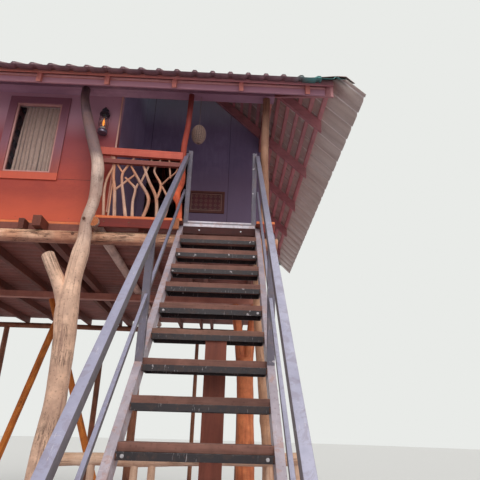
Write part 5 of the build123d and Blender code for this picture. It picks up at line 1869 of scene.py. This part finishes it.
    def build(self) -> None:
        """Builds and dresses the roof."""
        for name, side, finishes, pitch in (
            ("front", (0, -1), (SHEET_BROWN, SHEET_BROWN_UNDER), self.rib),
            ("rear", (0, 1), (SHEET_BROWN, SHEET_BROWN_UNDER), self.rib),
            ("left", (-1, 0), (SHEET_LEFT, SHEET_LEFT_UNDER), self.rib),
            ("right", (1, 0), (SHEET_GREEN, SHEET_BEIGE_UNDER), self.wide_rib),
        ):
            self.slope(f"{name}_sheet", f"{name}_roof_sheet", side, finishes, pitch)
        self.screws()
        self.eave_strips()
        dress(CAP, "roof_caps")
        dress(RED_FASCIA, "fascia_boards")
        dress(RED_Y, "rafters", "side_plates")
        dress(SLAT, "slats")
        dress(RED_X, "side_rafters", "hip_rafters", "ridge_board", "battens")
        dress(PLATE, "end_plates")


# ----------------------------------------------------------------------------- porch


@dataclass
class Porch:
    """Balcony rails, lantern, woven hanging and picture."""

    lantern: tuple[float, float, float] = (-1.526, 1.4805, 4.799)
    hanging: tuple[float, float, float] = (-0.365, 1.4755, 4.84)
    radius: float = 0.09
    half: float = 0.132
    hoops: int = 13
    staves: int = 18
    tank: Sequence[tuple[float, float]] = (
        (0.0, 0.0), (0.05, 0.0), (0.058, 0.004), (0.06, 0.012), (0.0605, 0.034), (0.056, 0.046), (0.04, 0.054),
        (0.026, 0.058), (0.024, 0.066), (0.0, 0.066),
    )
    burner: Sequence[tuple[float, float]] = (
        (0.0, 0.064), (0.02, 0.064), (0.026, 0.07), (0.03, 0.082), (0.022, 0.094), (0.014, 0.1), (0.012, 0.106),
        (0.0, 0.106),
    )
    flame: Sequence[tuple[float, float]] = (
        (0.0, 0.104), (0.007, 0.112), (0.0125, 0.135), (0.012, 0.158), (0.007, 0.185), (0.002, 0.212), (0.0, 0.218),
    )
    chimney: Sequence[tuple[float, float]] = (
        (0.028, 0.078), (0.036, 0.09), (0.044, 0.12), (0.0455, 0.15), (0.042, 0.19), (0.034, 0.225), (0.03, 0.262),
        (0.0285, 0.262), (0.0325, 0.224), (0.0405, 0.189), (0.044, 0.15), (0.0425, 0.121), (0.0345, 0.091),
        (0.0265, 0.079), (0.028, 0.078),
    )
    hood: Sequence[tuple[float, float]] = (
        (0.03, 0.262), (0.052, 0.262), (0.061, 0.266), (0.0615, 0.274), (0.05, 0.29), (0.036, 0.304),
        (0.034, 0.32), (0.04, 0.325), (0.04, 0.332), (0.028, 0.345), (0.018, 0.36), (0.012, 0.372), (0.0, 0.377),
    )
    guard: Sequence[tuple[float, float]] = ((0.05, 0.03), (0.0575, 0.09), (0.058, 0.19), (0.05, 0.275))
    guard_wire: float = 0.003
    ring_lifts: Sequence[float] = (0.115, 0.2)
    ring_radius: float = 0.048
    ring_wire: float = 0.0016
    arch_lift: float = 0.27
    arch_half: float = 0.056
    arch_height: float = 0.09
    arch_wire: float = 0.0018
    hoop_strand: float = 0.0045
    stave_strand: float = 0.0035
    weave: float = 0.0035

    def spun(
        self, name: str, profile: Sequence[tuple[float, float]], finish: Finish, steps: int = 24,
        stands_for: Sequence[str] = (), smooth: float = 0.7, held: bool = False,
    ) -> None:
        """Builds one part of the lantern that is round about its axis, with or without the arm that holds it."""
        mesh = bmesh.new()
        turned_shape(mesh, profile, self.lantern, steps)
        if held:
            self.bracket(mesh)
        piece(name, mesh, [finish], stands_for, smooth=smooth)

    def bracket(self, mesh: bmesh.types.BMesh) -> None:
        """Adds the arm and the plate that hold the lantern on the wall."""
        x, y, z = self.lantern
        place = Matrix.Translation((x, y + 0.036, z + 0.285)) @ Matrix.Rotation(math.pi / 2, 4, "X")
        bmesh.ops.create_cone(mesh, cap_ends=True, segments=12, radius1=0.006, radius2=0.006, depth=0.07, matrix=place)
        wall = LEVELS.front_wall
        slab(mesh, (x - 0.018, wall - 0.006, z + 0.25), (x + 0.018, wall, z + 0.32), 0.002)

    def lantern_pieces(self) -> None:
        """Builds the lantern: tank, burner, flame, chimney, guard wires, hood and arm."""
        self.spun("lantern_tank", self.tank, LAMP_TANK)
        self.spun("lantern_burner", self.burner, BURNER)
        self.spun("lantern_flame", self.flame, FLAME, 16, smooth=1.5)
        self.spun("lantern_chimney", self.chimney, LAMP_GLASS, 32, ["lantern_glass"], 1.2)
        self.spun("lantern_hood", self.hood, LAMP_METAL, 28, stands_for=["lantern_body"], held=True)
        x, y, z = self.lantern
        mesh = log_mesh()
        for side in (-1, 1):
            wire = [(x + side * out, y, z + up, self.guard_wire) for out, up in self.guard]
            strand(mesh, wire, side, 0.02, 0.0, 8)
        for lift in self.ring_lifts:
            ring = [on_circle(self.lantern, self.ring_radius, TURN * k / 16, lift, self.ring_wire) for k in range(17)]
            strand(mesh, ring, 3.0, 0.01, 0.0)
        arch = [(x + self.arch_half * math.cos(a), y - 0.004, z + self.arch_lift + self.arch_height * math.sin(a),
                 self.arch_wire) for a in [math.pi * k / 12 for k in range(13)]]
        strand(mesh, arch, 5.0, 0.01, 0.0)
        piece("lantern_wires", mesh, [LAMP_METAL, LAMP_METAL], smooth=1.2)

    def woven(self) -> None:
        """Weaves the hanging: hoops in and out round upright staves, on a string, with a dark shell inside as painted
        shade.
        """
        x, y, z = self.hanging
        mesh = log_mesh()
        count = self.staves * 4
        for hoop in range(self.hoops):
            t = (hoop + 0.5) / self.hoops * 2 - 1
            stations = []
            for k in range(count + 1):
                a = TURN * k / count
                push = self.weave * math.cos(a * self.staves + math.pi * hoop)
                radius = (self.radius - 0.008) * math.sqrt(1 - t * t) + push
                stations.append(on_circle(self.hanging, radius, a, t * (self.half - 0.008), self.hoop_strand))
            strand(mesh, stations, float(hoop), 0.02, 0.05)
        for stave in range(self.staves):
            a = TURN * (stave + 0.25) / self.staves
            stations = []
            for k in range(13):
                t = -0.985 + 1.97 * k / 12
                radius = (self.radius - 0.009) * math.sqrt(max(0.0, 1 - t * t))
                stations.append(on_circle(self.hanging, radius, a, t * (self.half - 0.006), self.stave_strand))
            strand(mesh, stations, 30.0 + stave, 0.03, 0.05)
        foot, top = z + self.half - 0.01, LEVELS.plate_bottom
        string = [(x, y, foot - 0.03, 0.003), (x + 0.002, y, (foot + top) / 2, 0.002), (x, y, top, 0.0025)]
        strand(mesh, string, 9.0, 0.05, 0.1)
        piece("woven_work", mesh, [FIBRE, FIBRE], ["woven_hanging"], smooth=1.2)
        # A dark shell inside the weave: painted shade inside the hanging.
        mesh = bmesh.new()
        bmesh.ops.create_uvsphere(mesh, u_segments=24, v_segments=14, radius=1.0)
        inner = self.radius - 0.014
        shape = Matrix.Translation((x, y, z)) @ Matrix.Diagonal((inner, inner, self.half - 0.014, 1))
        bmesh.ops.transform(mesh, matrix=shape, verts=list(mesh.verts))
        for vert in mesh.verts:
            vert.co += Vector((vert.co.x - x, vert.co.y - y, 0)) * noise.noise(vert.co * 40) * 0.06
        piece("woven_shade_shell", mesh, [SHADE_SHELL], smooth=1.5)

    def picture(self) -> None:
        """Dresses the picture in its frame."""
        low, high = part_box("picture_face")
        centre = ((low.x + high.x) / 2, (low.z + high.z) / 2)
        dress(Print("printed_panel", centre, (high.x - low.x, high.z - low.z)), "picture_face")
        dress(FRAME, "picture_frame")

    def build(self) -> None:
        """Builds and dresses the porch."""
        self.lantern_pieces()
        self.woven()
        self.picture()
        dress(RAIL, "balcony_rails")


def main() -> None:
    """Builds the house in order."""
    for part in (Studio(), LogWork(), Platform(), Stair(), Cabin(), Roof(), Porch()):
        log.info("%s", type(part).__name__)
        part.build()


if __name__ == "__main__":
    logging.basicConfig(level=logging.INFO, format="%(message)s")
    main()
